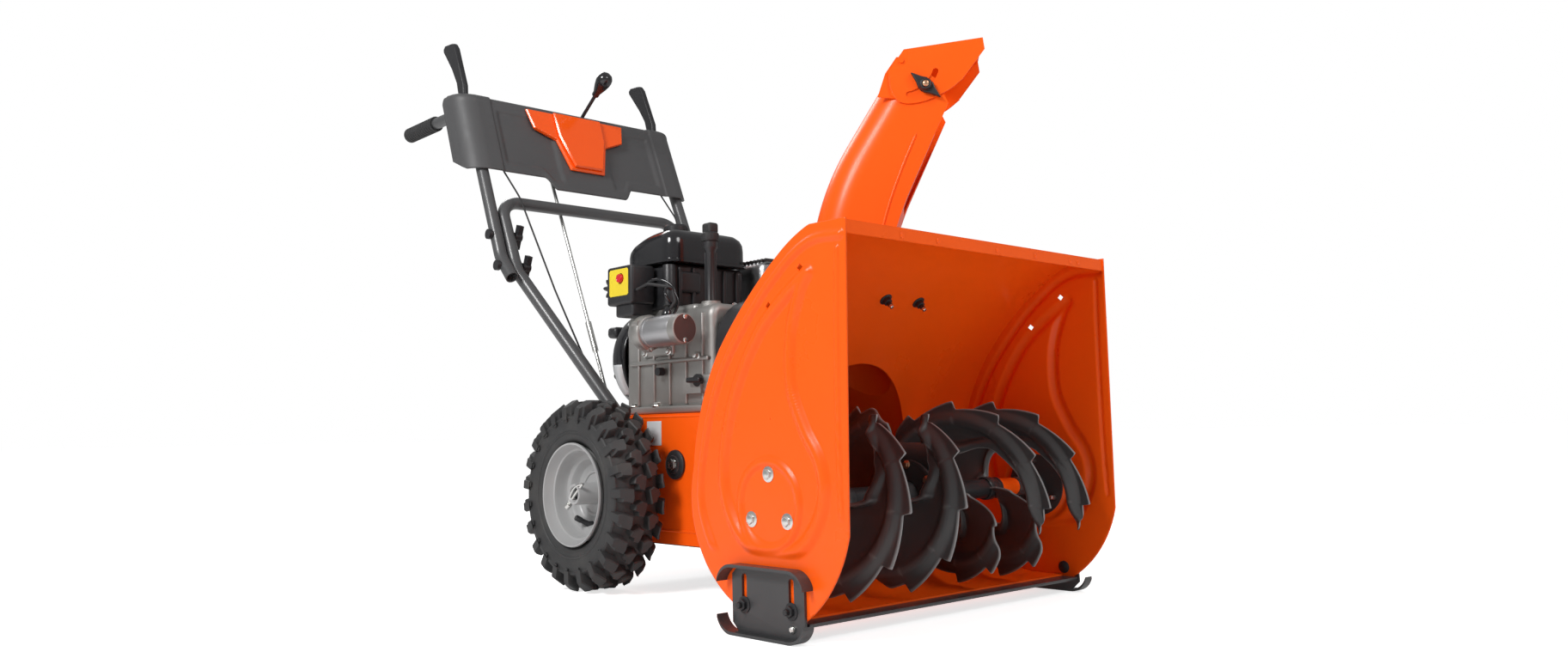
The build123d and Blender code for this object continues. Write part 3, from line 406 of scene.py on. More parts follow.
# Each half's arms: angles of tip and root, |x| at tip and root for both plates, the inner edge's radius from root
# to tip, the angle of one tooth's point and the side its ribs stand out to.
LEFT_ARMS = dict(tip=302, root=84, spans=((155, 48), (262, 156)), tooth=249, proud=-1,
                 inner=[(0, 12), (0.26, 14), (0.45, 56), (0.66, 84), (0.90, 98), (1, 122)])
RIGHT_ARMS = dict(tip=204, root=400, spans=((54, 108), (166, 238)), tooth=277, proud=1,
                  inner=[(0, 12), (0.58, 14), (0.68, 58), (0.84, 82), (0.94, 96), (1, 118)])


def auger_arm(arms, span, turn):
    """One serrated sickle arm: rolled inner lip, hollow face and a crease inside its toothed rim."""
    x_tip, x_root = span

    def at(u, t):
        angle = arms["root"] + (arms["tip"] - arms["root"]) * t
        rim = between(t, [(0, 28), (0.05, 52), (0.14, 108), (0.24, AUGER_RADIUS - 1.5), (1, AUGER_RADIUS - 1.5)])
        inner = between(t, arms["inner"])
        saw = (angle - arms["tooth"]) / TOOTH_PITCH % 1
        bite = 1 - (saw / 0.95) ** 1.3 if saw < 0.95 else (saw - 0.95) / 0.05
        outer = rim - TOOTH_DEPTH * bite * min(1, max(0, t - 0.12) / 0.08)
        outer -= 9 * max(0, (t - 0.95) / 0.05)
        radius = inner + (outer - inner) * u
        fade = min(1, t / 0.10, (1 - t) / 0.04)
        grow = fade * min(1, max(0, t - 0.08) / 0.12)
        lip = 6.5 * hump(radius - inner, 9, 11) * grow
        crease = 7.0 * hump(AUGER_RADIUS - radius, 31, 15) * grow
        hollow = 7 * sin(pi * min(1, max(0, (radius - inner) / max(1, AUGER_RADIUS - 38 - inner)))) * fade
        cone = 12 * (radius - 12) / (AUGER_RADIUS - 12) * (1 - t * 0.5)
        x = x_root + (x_tip - x_root) * t - cone + arms["proud"] * (lip + crease - hollow)
        return auger_spot(radius, angle + turn, x)

    return surface(at, 28, 230)


def auger_half(arms):
    half = Shape()
    for span in arms["spans"]:
        for turn in (0, 180):
            half.join(auger_arm(arms, span, turn))
    return half


def on_shaft(profile):
    return lathe(profile, (0, SHAFT.y, SHAFT.z), X, 32)


def auger_hubs():
    """Tube of one half with its collars."""
    hubs = on_shaft([(9.6, 48), (15, 48), (15, 188), (16.5, 189), (16.5, 191), (9.6, 191)])
    for x in (58, 166):
        hubs.join(lathe([(14, -8), (17, -8), (18, -6), (18, 8), (17, 10), (14, 10)], (x, SHAFT.y, SHAFT.z), X, 32))
    return hubs.join(on_shaft([(9.6, 240), (14, 240), (15, 241), (15, 282), (9.6, 282)]))


def make_augers():
    for side, half in (("left", auger_half(LEFT_ARMS)), ("right", auger_half(RIGHT_ARMS).mirrored())):
        piece(f"auger_ribbon_{side}", half, ARM_PAINT, body="auger", smooth=50, thickness=3,
              replaces=[f"auger_half_{side}"])
    piece("auger_hubs", both_sides(auger_hubs()), BLACK, body="auger")
    rings = [(9.8, 0), (13.4, 0)] + [(13.4 + 0.7 * (k % 2), 2 + k * 2.6) for k in range(17)] + [(13.4, 48), (9.8, 48)]
    spacer = lathe(rings, (192, SHAFT.y, SHAFT.z), X, 32)
    piece("shaft_spacers", both_sides(spacer), ORANGE, body="auger")


# ---- wheels ----
TYRE_LOW, TYRE_HIGH, TYRE_MIDDLE = box("tyres")
TYRE_RADIUS = (TYRE_HIGH.z - TYRE_LOW.z) / 2
RIM_LOW, RIM_HIGH, _ = box("wheel_rims")
RIM_RADIUS = (RIM_HIGH.z - RIM_LOW.z) / 2
TYRE_WIDTH = 104
TYRE_X = TYRE_HIGH.x - TYRE_WIDTH / 2
LUGS = 23
TREAD_RADIUS = TYRE_RADIUS - 15
CARCASS_HALF = TYRE_WIDTH / 2 - 3
INNER_SHOULDER = -36


def inboard(x):
    """The tyre's inner shoulder is drawn in, clear of the handle's foot."""
    return x if x > INNER_SHOULDER else INNER_SHOULDER + (x - INNER_SHOULDER) * 0.4


def wheel_spot(x, radius, angle):
    return Vector((TYRE_X + inboard(x), TYRE_MIDDLE.y + radius * cos(angle), TYRE_MIDDLE.z + radius * sin(angle)))


def carcass_radius(x):
    """Radius of the tyre's body under its lugs."""
    s = min(1, abs(x) / CARCASS_HALF)
    return TREAD_RADIUS - 17 * s ** 3.2


def tyre_body():
    """Carcass with its bead, two raised rings on each side and the round shoulder."""
    half = CARCASS_HALF
    bead_and_rings = [(-4, -16), (2, -9), (5, -6), (12, -3), (15, -2.8), (16.5, -1.2), (19, -1.2), (20.5, -2.2),
                      (30, -0.6), (40, -0.6), (42, 0.8), (44, 0.8), (46, -1.2)]
    side = [(RIM_RADIUS + rise, half + out) for rise, out in bead_and_rings]
    profile = side + [(carcass_radius(x), x) for x in [half * k / 10 for k in range(9, -10, -1)]]
    profile += [(r, -x) for r, x in side[::-1]]
    return lathe([(r, inboard(x)) for r, x in profile], (TYRE_X, TYRE_MIDDLE.y, TYRE_MIDDLE.z), X, 120)


def lug(outline, height, angle, turn=1):
    """Tread block: outline in (across, round) millimetres, standing on the carcass with sloping flanks."""
    outline = [(x, y * turn) for x, y in (outline if turn > 0 else outline[::-1])]
    cx = sum(p[0] for p in outline) / len(outline)
    cy = sum(p[1] for p in outline) / len(outline)
    points = []
    for grow, lift in ((1.14, -3), (1.04, height * 0.85), (0.90, height)):
        for x, y in outline:
            px, py = cx + (x - cx) * grow, cy + (y - cy) * grow
            base = carcass_radius(px) if lift < height * 0.5 else carcass_radius(x)
            points.append(wheel_spot(px, min(base + lift, TYRE_RADIUS - 0.4), angle + py / TREAD_RADIUS))
    return Shape().add(points, ring_faces(3, len(outline)))


def tread():
    """Two rows of angled centre blocks and a row of shoulder blocks on each side."""
    blocks = Shape()
    pitch = 2 * pi / LUGS
    centre = [(2, -9), (12, -13), (24, -8), (26, 0), (19, 3), (18, 9), (8, 12), (5, 4)]
    shoulder = [(30, -9), (45, -12), (51.5, -10), (51.5, 3), (46, 4), (45, 9), (32, 11), (29, 4)]
    for k in range(LUGS):
        angle = k * pitch
        blocks.join(lug(centre, 14, angle))
        blocks.join(lug([(-x, y) for x, y in centre][::-1], 14, angle + pitch / 2))
        blocks.join(lug(shoulder, 19, angle + pitch * 0.45))
        blocks.join(lug([(-x, y) for x, y in shoulder][::-1], 19, angle + pitch * 0.95))
        for sign in (1, -1):
            foot = [wheel_spot(sign * 49.2, TREAD_RADIUS - r, angle + pitch * (0.45 if sign > 0 else 0.95) + a)
                    for r, a in ((9, -0.05), (9, 0.03), (24, 0.018), (24, -0.036))]
            top = [p + Vector((sign * 2.2, 0, 0)) for p in foot]
            blocks.add(foot + top,
                       [(0, 1, 2, 3), (7, 6, 5, 4), (0, 4, 5, 1), (1, 5, 6, 2), (2, 6, 7, 3), (3, 7, 4, 0)])
    return blocks


def make_wheels():
    tyre = Shape().join(tyre_body()).join(tread())
    piece("tyre_pair", both_sides(tyre), RUBBER, body="wheels", smooth=28, replaces=["tyres"])
    hub_y, hub_z = TYRE_MIDDLE.y, TYRE_MIDDLE.z
    r = RIM_RADIUS
    disc = [(11, 150), (18, 150), (19, 190), (30, 193), (49, 194), (53, 197), (57, 205), (66, 207), (70, 206),
            (73, 190), (76, 172), (80, 164), (r, 158), (r, 154), (r - 2, 152), (r - 2, 158), (r - 6, 168),
            (r - 10, 200), (r - 7, 238), (r - 2, 244), (r, 250), (r - 1, 252.5), (r - 3.4, 252), (r - 6, 246),
            (r - 9, 240), (r - 11, 237), (r - 14, 236), (r - 16, 231), (r - 17.5, 219), (r - 21, 214.5), (r - 29, 213),
            (r - 32.5, 209), (r - 35, 203), (r - 38, 200.5), (41, 199.5), (39, 201.5), (37, 202), (35, 201.5),
            (33.5, 199.5), (24, 199), (20, 201), (18.5, 204), (18, 243), (17, 245), (13.5, 245), (12, 243.5),
            (11.5, 238), (10.2, 236)]
    rim = lathe(disc, (0, hub_y, hub_z), X, 96)
    piece("pressed_rims", both_sides(rim), RIM, body="wheels", smooth=32, replaces=["wheel_rims"])
    shaft = lathe([(0, -234), (8, -234), (9.4, -232), (9.4, 232), (8, 234), (0, 234)], (0, hub_y, hub_z), X, 40)
    piece("axle_bar", shaft, STEEL, body="wheels", replaces=["axle"])
    valve = Vector((201, hub_y + 8, hub_z - 56))
    stem = lathe([(0, 0), (8, 0), (8.4, 2), (6.4, 6), (5, 9), (4.2, 22), (5, 23), (5, 33), (4, 34.5), (0, 34.5)],
                 valve, (0.78, 0.18, 0.42), 24)
    piece("valve_stems", both_sides(stem), PLASTIC, body="wheels")
    arc = [(241 + 5 * sin(pi * k / 12), hub_y - 22 + 44 * k / 12, hub_z + 18 - 38 * k / 12 + 9 * sin(pi * k / 12))
           for k in range(13)]
    wire = tube(smooth_path(arc, 4), 1.7, 12)
    wire.join(tube([(241, hub_y - 22, hub_z + 18), (241, hub_y, hub_z + 1), (241, hub_y + 22, hub_z - 20)], 2.6, 14))
    wire.join(lathe([(0, -5), (4.6, -5), (5, -4), (5, 4), (4.6, 5), (0, 5)], (241, hub_y + 22, hub_z - 20),
                    (0, 0.78, -0.62), 20))
    piece("linch_pins", both_sides(wire), ZINC, body="wheels", replaces=["wheel_pins"])


# ---- housing ----
PLATE_LOW, PLATE_HIGH, _ = box("side_plate_left")
PLATE_X = (PLATE_LOW.x + PLATE_HIGH.x) / 2
FRONT, TOP = PLATE_LOW.y, PLATE_HIGH.z


def arc_through(a, b, c, count):
    """Points on the circle through three (y, z) points, from the first to the last."""
    ax, ay, bx, by, cx, cy = *a, *b, *c
    d = 2 * (ax * (by - cy) + bx * (cy - ay) + cx * (ay - by))
    ux = ((ax ** 2 + ay ** 2) * (by - cy) + (bx ** 2 + by ** 2) * (cy - ay) + (cx ** 2 + cy ** 2) * (ay - by)) / d
    uy = ((ax ** 2 + ay ** 2) * (cx - bx) + (bx ** 2 + by ** 2) * (ax - cx) + (cx ** 2 + cy ** 2) * (bx - ax)) / d
    radius = hypot(ax - ux, ay - uy)
    start, end = atan2(ay - uy, ax - ux), atan2(cy - uy, cx - ux)
    middle = atan2(by - uy, bx - ux)
    while middle > start:
        middle -= 2 * pi
    while end > middle:
        end -= 2 * pi
    return [(ux + radius * cos(start + (end - start) * k / count),
             uy + radius * sin(start + (end - start) * k / count))
            for k in range(count)]


def plate_outline():
    """Side plate's edge in the order of the CAD outline, relative to the frame's y and z."""
    foot = PLATE_LOW.z
    corners = [(FRONT, TOP), (-627, TOP)]
    for a, b, c, count in (((-627, TOP), (-598, 519), (-571, 502), 6), ((-571, 502), (-500, 442), (-443, 379), 12),
                           ((-443, 379), (-407, 312), (-384, 216), 12), ((-384, 216), (-380, 150), (-426, 65), 12),
                           ((-426, 65), (-474, 33), (-524, foot), 10)):
        corners += arc_through(a, b, c, count)
    corners += [(-524, foot), (-594, foot)] + arc_through((-594, foot), (-646, 67), (-680, 135), 12)
    return corners + [(-680, 135)]


def resampled(points, count, closed=True):
    """Evenly spaced points along an outline."""
    points = [Vector(p) for p in points]
    if closed:
        points.append(points[0])
    lengths = [0]
    for a, b in zip(points, points[1:]):
        lengths.append(lengths[-1] + (b - a).length)
    result, k = [], 0
    for i in range(count):
        target = lengths[-1] * i / (count if closed else count - 1)
        while k < len(points) - 2 and lengths[k + 1] < target:
            k += 1
        span = max(lengths[k + 1] - lengths[k], 1e-9)
        result.append(points[k].lerp(points[k + 1], min(1, (target - lengths[k]) / span)))
    return result


TEARDROP = [(-622, 468), (-574, 437), (-526, 395), (-480, 325), (-455, 252), (-450, 190), (-472, 138), (-510, 108),
            (-550, 99), (-598, 116), (-630, 152), (-641, 190), (-633, 228), (-609, 266), (-587, 322), (-589, 392),
            (-608, 446)]
EDGE_RIB = [(-682, 511), (-640, 512), (-604, 500), (-566, 474), (-524, 437), (-466, 371), (-428, 304), (-404, 222),
            (-400, 165), (-418, 118), (-440, 84)]
FRONT_RIB = [(-676, 494), (-672, 400), (-669, 300), (-668, 215), (-669, 158)]
BEARING = (SHAFT.y, SHAFT.z)


def rib_height(spot, curve, width, height):
    """Height of a pressed rib at a distance from its middle line."""
    nearest = min((spot - p).length_squared for p in curve)
    s = sqrt(nearest) / (width / 2)
    return height * (1 - s * s) ** 2 if s < 1 else 0.0


def plate_relief():
    """Function giving how far the pressed ribs stand out of the side plate."""
    tear = resampled([p[:2] for p in smooth_path([(*p, 0) for p in TEARDROP + TEARDROP[:1]], 6)], 220)
    edge = resampled([p[:2] for p in smooth_path([(*p, 0) for p in EDGE_RIB], 6)], 160, closed=False)
    front = resampled([p[:2] for p in smooth_path([(*p, 0) for p in FRONT_RIB], 6)], 90, closed=False)

    def height(y, z):
        spot = Vector((y, z))
        from_bearing = hypot(y - BEARING[0], z - BEARING[1])
        value = rib_height(spot, tear, 26, 6.5) + rib_height(spot, edge, 18, 5) + rib_height(spot, front, 11, 3)
        ring = abs(from_bearing - 56) / 8
        value += 4.0 * (1 - ring * ring) ** 2 if ring < 1 else 0
        inside = max(0.0, min(1.0, (z - 100) / 14))
        return value * inside * inside * (3 - 2 * inside)

    return height


def side_plate_sheet():
    """Flat sheet with pressed ribs, from a point inside out to its edge."""
    edge = resampled(plate_outline(), 380)
    relief = plate_relief()
    middle = Vector((-545, 280))
    rings = 118

    def at(u, v):
        rim = edge[round(u * 380) % 380]
        spot = middle.lerp(rim, max(v, 0.004))
        return Vector((PLATE_X + relief(spot.x, spot.y), spot.x, spot.y))

    return surface(at, 380, rings, wrap_across=True)


def finished(item, cutters):
    """Cut holes with the cutters, apply every modifier and remove the cutters."""
    for cutter in cutters:
        modifier = item.modifiers.new("hole", "BOOLEAN")
        modifier.object, modifier.operation, modifier.solver = cutter, "DIFFERENCE", "EXACT"
    bpy.context.view_layer.update()
    graph = bpy.context.evaluated_depsgraph_get()
    mesh = bpy.data.meshes.new_from_object(item.evaluated_get(graph))
    item.modifiers.clear()
    item.data = mesh
    for cutter in cutters:
        bpy.data.objects.remove(cutter)
    return item


def cutter(shape):
    mesh = bpy.data.meshes.new("cutter")
    mesh.from_pydata([p * MM for p in shape.points], [], shape.faces)
    item = bpy.data.objects.new("cutter", mesh)
    bpy.context.scene.collection.objects.link(item)
    return item


def make_housing():
    sheet = side_plate_sheet()
    for name, shape, sign in (("left", sheet, 1), ("right", sheet.mirrored(), -1)):
        item = piece(f"pressed_plate_{name}", shape, ORANGE, smooth=60, thickness=2.4,
                     replaces=[f"side_plate_{name}"])
        holes = [prism(ring_points(5.6, 4), 30, (sign * PLATE_X - 15, y, z), X, Z)
                 for y, z in ((-608.6, 476.4), (-546.6, 431))]
        finished(item, [cutter(hole) for hole in holes])
    wall_low, wall_high, _ = box("housing_wall")
    welds = Shape()
    for x in (-196, -118, 20, 118, 214, 236):
        welds.join(lathe([(0, 0.5), (2.6, 0.4), (3.4, -0.2), (4.2, 0.1), (5.0, -0.05)],
                         (x, wall_low.y - 0.05, wall_high.z - 10), -Y, 20))
    piece("spot_welds", welds, ORANGE)


BEARING_BOLTS = [(SHAFT.y + 39.5 * cos(radians(a)), SHAFT.z + 39.5 * sin(radians(a))) for a in (90, 210, 330)]
SHOE_BOLTS = [(-581, 38), (-492, 38)]
WALL_BOLTS = [(x, -522.8, 459.8) for x in (-39, 39)]


def make_housing_bolts():
    """Zinc bolts of the auger bearings, black flange nuts of the shoes and black bolts through the wall."""
    zinc, dark, tips, wall_tips = Shape(), Shape(), Shape(), Shape()
    outside = box("side_plate_left")[1].x
    shoe_face = outside + 4.6
    for y, z in BEARING_BOLTS:
        zinc.join(hex_bolt((outside, y, z), X, 12, 5.2, flange=10.5))
        zinc.join(lathe([(3.6, 0), (3.6, 12), (2.8, 13.4), (0, 13.4)], (outside - 4, y, z), -X, 16))
    for y, z in SHOE_BOLTS:
        dark.join(hex_bolt((shoe_face, y, z), X, 13, 7, flange=11))
        dark.join(lathe([(4, 0), (4, 5), (3.2, 6), (0, 6)], (shoe_face + 7, y, z), X, 18))
        dark.join(lathe([(0, 4.2), (5, 3.8), (9, 2), (9.6, 0), (9, -1.5), (0, -1.5)], (outside - 3.4, y, z), -X, 24))
    tips.join(hex_bolt((shoe_face, SHOE_BOLTS[0][0] - 2, 16.5), X, 7, 4, flange=4.6))
    piece("bearing_bolts", both_sides(zinc), ZINC, replaces=["housing_bolts"])
    walls = Shape()
    inward = Vector((0, -0.655, -0.756))
    for place in WALL_BOLTS:
        walls.join(hex_bolt(place, inward, 13, 8, flange=10.5))
        walls.join(lathe([(4, 0), (4, 6), (0, 6)], Vector(place) + inward * 8, inward, 18))
        wall_tips.join(lathe([(3.4, 0), (3.4, 5), (2.6, 6), (0, 6)], Vector(place) + inward * 13, inward, 16))
    piece("shoe_nuts", both_sides(dark).join(walls), PLASTIC)
    piece("wall_bolt_tips", wall_tips, ZINC)
    for side, shape in (("left", tips), ("right", tips.mirrored())):
        piece(f"shoe_bolt_{side}", shape, ZINC, body=f"shoe_{side}")


# ---- handles ----
CONSOLE_LOW, CONSOLE_HIGH, _ = box("console")
CONSOLE_HALF = CONSOLE_HIGH.x
FACE_SLOPE = 0.407
FACE_Y0, FACE_Z0 = CONSOLE_LOW.y, CONSOLE_LOW.z
CAP_X = 212


def step(value, start, end):
    t = max(0.0, min(1.0, (value - start) / (end - start)))
    return t * t * (3 - 2 * t)


def face_y(z):
    return FACE_Y0 + (z - FACE_Z0) * FACE_SLOPE


def console_low(x):
    """Height of the panel's lower edge, with its lower middle part."""
    return FACE_Z0 + 1 + 26 * step(abs(x), 88, 114)


def console_wall(u, z):
    """Point on the panel's upright wall at a height: side, rounded corner, front, corner and side."""
    corner = 42
    depth = 74
    half = CONSOLE_HALF - 1.5
    run = (depth - corner, corner * pi / 2, 2 * (half - corner), corner * pi / 2, depth - corner)
    total = sum(run)
    s = u * total
    if s < run[0]:
        return -half, face_y(z) + depth - s
    s -= run[0]
    if s < run[1]:
        a = s / corner
        return -half + corner * (1 - cos(a)), face_y(z) + corner * (1 - sin(a))
    s -= run[1]
    if s < run[2]:
        return -half + corner + s, face_y(z)
    s -= run[2]
    if s < run[3]:
        a = s / corner
        return half - corner * (1 - sin(a)), face_y(z) + corner * (1 - cos(a))
    return half, face_y(z) + corner + (s - run[3])


def console_spot(u, v):
    x, y = console_wall(u, FACE_Z0)
    back = y - face_y(FACE_Z0)
    top = CONSOLE_HIGH.z - 20
    low = console_low(x) + 0.55 * max(0, back - 30)
    if v < 0.8:
        z = low + (top - low) * v / 0.8
        x, y = console_wall(u, z)
        cap = step(abs(x), CAP_X - 1.5, CAP_X + 2.5) * step(z, low - 5, low)
        panel = step(abs(x), 62, 74) * (1 - step(abs(x), CAP_X - 20, CAP_X - 8))
        panel *= step(z, low + 16, low + 26) * (1 - step(z, top - 22, top - 10))
        chin = (1 - step(abs(x), 96, 122)) * (1 - step(z, FACE_Z0 + 32, FACE_Z0 + 52))
        front = 1 - step(back, 20, 60)
        return Vector((x, y + front * (4.5 * panel + 3.5 * (1 - cap) - 2.5 * chin), z))
    t = (v - 0.8) / 0.2
    x, y = console_wall(u, top)
    cap = step(abs(x), CAP_X - 1.5, CAP_X + 2.5)
    rear = CONSOLE_HIGH.y - 14
    inward = 1 - cos(min(1, t / 0.45) * pi / 2)
    lift = sin(min(1, t / 0.45) * pi / 2)
    reach = 0.18 * inward + 0.82 * max(0, (t - 0.45) / 0.55)
    front = (1 - step(back, 20, 60)) * (1 - reach)
    return Vector((x * (1 - 0.012 * inward), y + (rear - y) * reach + 3.5 * (1 - cap) * front,
                   top + 14 * lift + 3 * t + 2.0 * (cap - 1) * lift))


def on_face(x, z, out=0.0):
    """Point on the panel's front face, pushed out along its normal."""
    run = hypot(1, FACE_SLOPE)
    return Vector((x, face_y(z) - out / run, z + out * FACE_SLOPE / run))


def badge_layer(outline, depth, bevel, out):
    normal = Vector((0, -1, FACE_SLOPE)).normalized()
    up = Vector((0, FACE_SLOPE, 1)).normalized()
    foot = on_face(0, 880, out)
    scaled = [(-x, (z - 880) * hypot(1, FACE_SLOPE)) for x, z in outline]
    return prism(scaled, depth, foot, normal, up, bevel)


def make_console():
    shell = surface(console_spot, 260, 60)
    piece("console_shell", shell, CONSOLE, smooth=40, thickness=3, replaces=["console"])
    wings = [(-128, 958), (-117, 914), (-66, 893), (-44, 824), (44, 824), (66, 893), (117, 914), (128, 958)]
    shield = [(-62, 957), (-60, 900), (-36, 829), (36, 829), (60, 900), (62, 957)]
    badge = badge_layer(wings, 9, 3.5, -3).join(badge_layer(shield, 8, 3.5, 5))
    piece("badge_shield", badge, BADGE, smooth=30, bevel=1.6, replaces=["badge"])


def make_grips():
    low, high, middle = box("hand_grips")
    radius = (high.z - low.z) / 2
    x = high.x - radius
    profile = [(11, 0), (radius - 1, 0), (radius, 2), (radius, 7)]
    y = 9
    while y < high.y - low.y - 12:
        profile += [(radius - 2.2, y), (radius - 2.2, y + 2.5), (radius, y + 4), (radius, y + 8)]
        y += 9.5
    end = high.y - low.y
    profile += [(radius, end - 5), (radius - 2, end - 1.5), (radius - 6, end), (0, end)]
    grip = lathe(profile, (x, low.y, middle.z), Y, 40)
    piece("grip_pair", both_sides(grip), GRIP, smooth=30, replaces=["hand_grips"])


LEVER_OUTLINE = [(1, 2), (18, 2), (33, 50), (60, 88), (100, 140), (101, 147), (94, 153), (66, 151), (56, 148),
                 (47, 138), (4, 40)]


def make_levers():
    """Paddle levers that lean back, each with its hub on the console's cross pin."""
    for side in ("left", "right"):
        low, high, _ = box(f"lever_{side}")
        x = (low.x + high.x) / 2
        y, z = low.y, low.z
        blade = prism([(-back, up) for back, up in LEVER_OUTLINE], 13, (x + 6.5, y, z), -X, Z, 3)
        blade.join(lathe([(0, -19), (5, -19), (5, 19), (0, 19)], (x, y + 9, z + 8), X, 20))
        blade.join(lathe([(5, -13), (10, -13), (10.5, -12), (10.5, 12), (10, 13), (5, 13)], (x, y + 9, z + 8), X, 28))
        piece(f"paddle_{side}", blade, PLASTIC, body=f"lever_{side}", smooth=30, bevel=1.2,
              replaces=[f"lever_{side}"])


# ---- engine ----
BLOCK_LOW, BLOCK_HIGH, _ = box("engine_block")
CRANK_Z = 402
STARTER_X, STARTER_Z = -148, 438


def loaf(low, high, radius, top, profile, sides=96):
    """Rounded rectangle in plan, closed above by rings of (inset, share of the height); top(y) is the height."""
    half = Vector((high.x - low.x, high.y - low.y)) / 2
    middle = Vector((high.x + low.x, high.y + low.y)) / 2

    def at(u, v):
        inset, share = profile[round(v * (len(profile) - 1))]
        a = 2 * pi * u
        size = Vector((max(1, half.x - inset), max(1, half.y - inset)))
        corner = max(0.5, min(radius, size.x - 0.2, size.y - 0.2) - 0.3 * inset)
        c, d = cos(a), sin(a)
        reach = 1 / max(abs(c) / size.x, abs(d) / size.y)
        spot = Vector((c, d)) * reach
        core = Vector((max(-size.x + corner, min(size.x - corner, spot.x)),
                       max(-size.y + corner, min(size.y - corner, spot.y))))
        away = spot - core
        if away.length > corner:
            spot = core + away.normalized() * corner
        place = middle + spot
        return Vector((place.x, place.y, low.z + (top(place.y) - low.z) * share))

    return surface(at, sides, len(profile) - 1, wrap_across=True)


def make_tank():
    low, high, _ = box("fuel_tank")

    def top(y):
        t = max(0.0, min(1.0, (y - low.y - 20) / (high.y - low.y - 14)))
        return low.z + (high.z - low.z - 12) * (1 - t ** 2.4) ** 0.5 + 8

    profile = [(30, 0.0), (4, 0.0), (0, 0.02), (0, 0.09), (4, 0.12), (4, 0.5), (5, 0.68), (9, 0.82), (17, 0.93),
               (30, 0.985),
               (50, 1.0), (75, 1.0), (99, 1.0)]
    tank = loaf(low + Vector((1, 1, 1)), high - Vector((1, 1, 0)), 26, top, profile)
    neck = lathe([(13.2, -20), (17, -20), (17, 0), (16.2, 1), (13.2, 1)], (-30, 1, high.z - 1), Z, 40)
    piece("tank_shell", tank.join(neck), GLOSS_BLACK, smooth=38, replaces=["fuel_tank"])
    _, cap_high, cap = box("fuel_cap")
    profile = [(12, 6), (22.5, 6), (23.5, 7), (23.5, 15), (21, 18.5), (12, 19.5), (0, 20)]
    lid = lathe(profile, (cap.x, cap.y, cap_high.z - 20.2), Z, 48)
    for a, spot in circle((cap.x, cap.y, cap_high.z - 13.5), 22.6, turns(18), "z"):
        lid.join(bar(1.6, 5.5, 1.5, spot, (cos(a), sin(a), 0), Z, 0.4))
    piece("tank_lid", lid, PLASTIC, body="fuel_cap", smooth=30, replaces=["fuel_cap"])


def make_heater_box():
    low, high, _ = box("engine_cover")
    shell = rounded_box(low + Vector((6, 8, 0)), high - Vector((6, 6, 0)), 9)
    for x in (-70, -38, 0, 38, 70):
        shell.join(rounded_box((x - 4, low.y + 2, low.z + 4), (x + 4, low.y + 14, high.z - 6), 3))
    shell.join(rounded_box((-72, low.y, 516), (-22, low.y + 16, 556), 6))
    shell.join(lathe([(0, 0), (11, 0), (12, 1), (12, 74), (11, 76), (0, 76)], (low.x + 4, low.y + 12, low.z + 4), Z,
                     28))
    piece("heater_box", shell, PLASTIC, smooth=40, replaces=["engine_cover"])
    screws = hex_bolt((60, low.y + 3, 498), -Y, 9, 4, flange=7)
    screws.join(hex_bolt((-84, low.y + 9, 500), -Y, 8, 4, flange=6))
    piece("cover_screws", screws, ZINC)


def make_control_box():
    low, high, _ = box("control_box")
    shell = rounded_box(low + X, high, 6)
    shell.join(rounded_box((low.x + 8, low.y + 6, low.z - 22), (high.x, high.y - 18, low.z + 4), 5))
    piece_body = piece("switch_case", shell, PLASTIC, smooth=40, replaces=["control_box"])
    _, _, button = box("start_button")
    outline = [(-26, -25), (26, -25), (29, -22), (29, 22), (26, 25), (-26, 25), (-29, 22), (-29, -22)]
    plate = prism(outline, 1.2, (low.x + 1.4, button.y + 6, 537), -X, Z, 0.4)
    plates = piece("blank_plate", plate, YELLOW, smooth=30)
    hole = lathe([(0, -6), (9.6, -6), (9.6, 30), (0, 30)], (low.x + 16, button.y, button.z), -X, 40)
    finished(plates, [cutter(hole)])
    knob_low, knob_high, knob = box("choke_knob")
    deep = lathe([(0, -4), (8.8, -4), (8.8, 40), (0, 40)], (knob.x, high.y - 14, knob.z), Y, 40)
    finished(piece_body, [cutter(hole), cutter(deep)])
    red = lathe([(4, -12), (8.2, -12), (8.2, 3), (7.6, 4.6), (6.6, 4.8), (5.4, 4.0), (0, 3.8)],
                (low.x, button.y, button.z),
                -X, 36)
    piece("start_push", red, RED, body="start_button", smooth=30, replaces=["start_button"])
    outline = [((19 + 4.4 * cos(8 * a)) * cos(a), (19 + 4.4 * cos(8 * a)) * sin(a)) for a in
               [2 * pi * k / 120 for k in range(120)]]
    wheel = prism(outline, knob_high.y - knob_low.y - 11, (knob.x, knob_low.y + 11, knob.z), Y, Z, 2)
    wheel.join(lathe([(0, 0), (7.6, 0), (7.6, 12), (0, 12)], (knob.x, knob_low.y, knob.z), Y, 28))
    piece("choke_dial", wheel, PLASTIC, body="choke_knob", smooth=45, replaces=["choke_knob"])


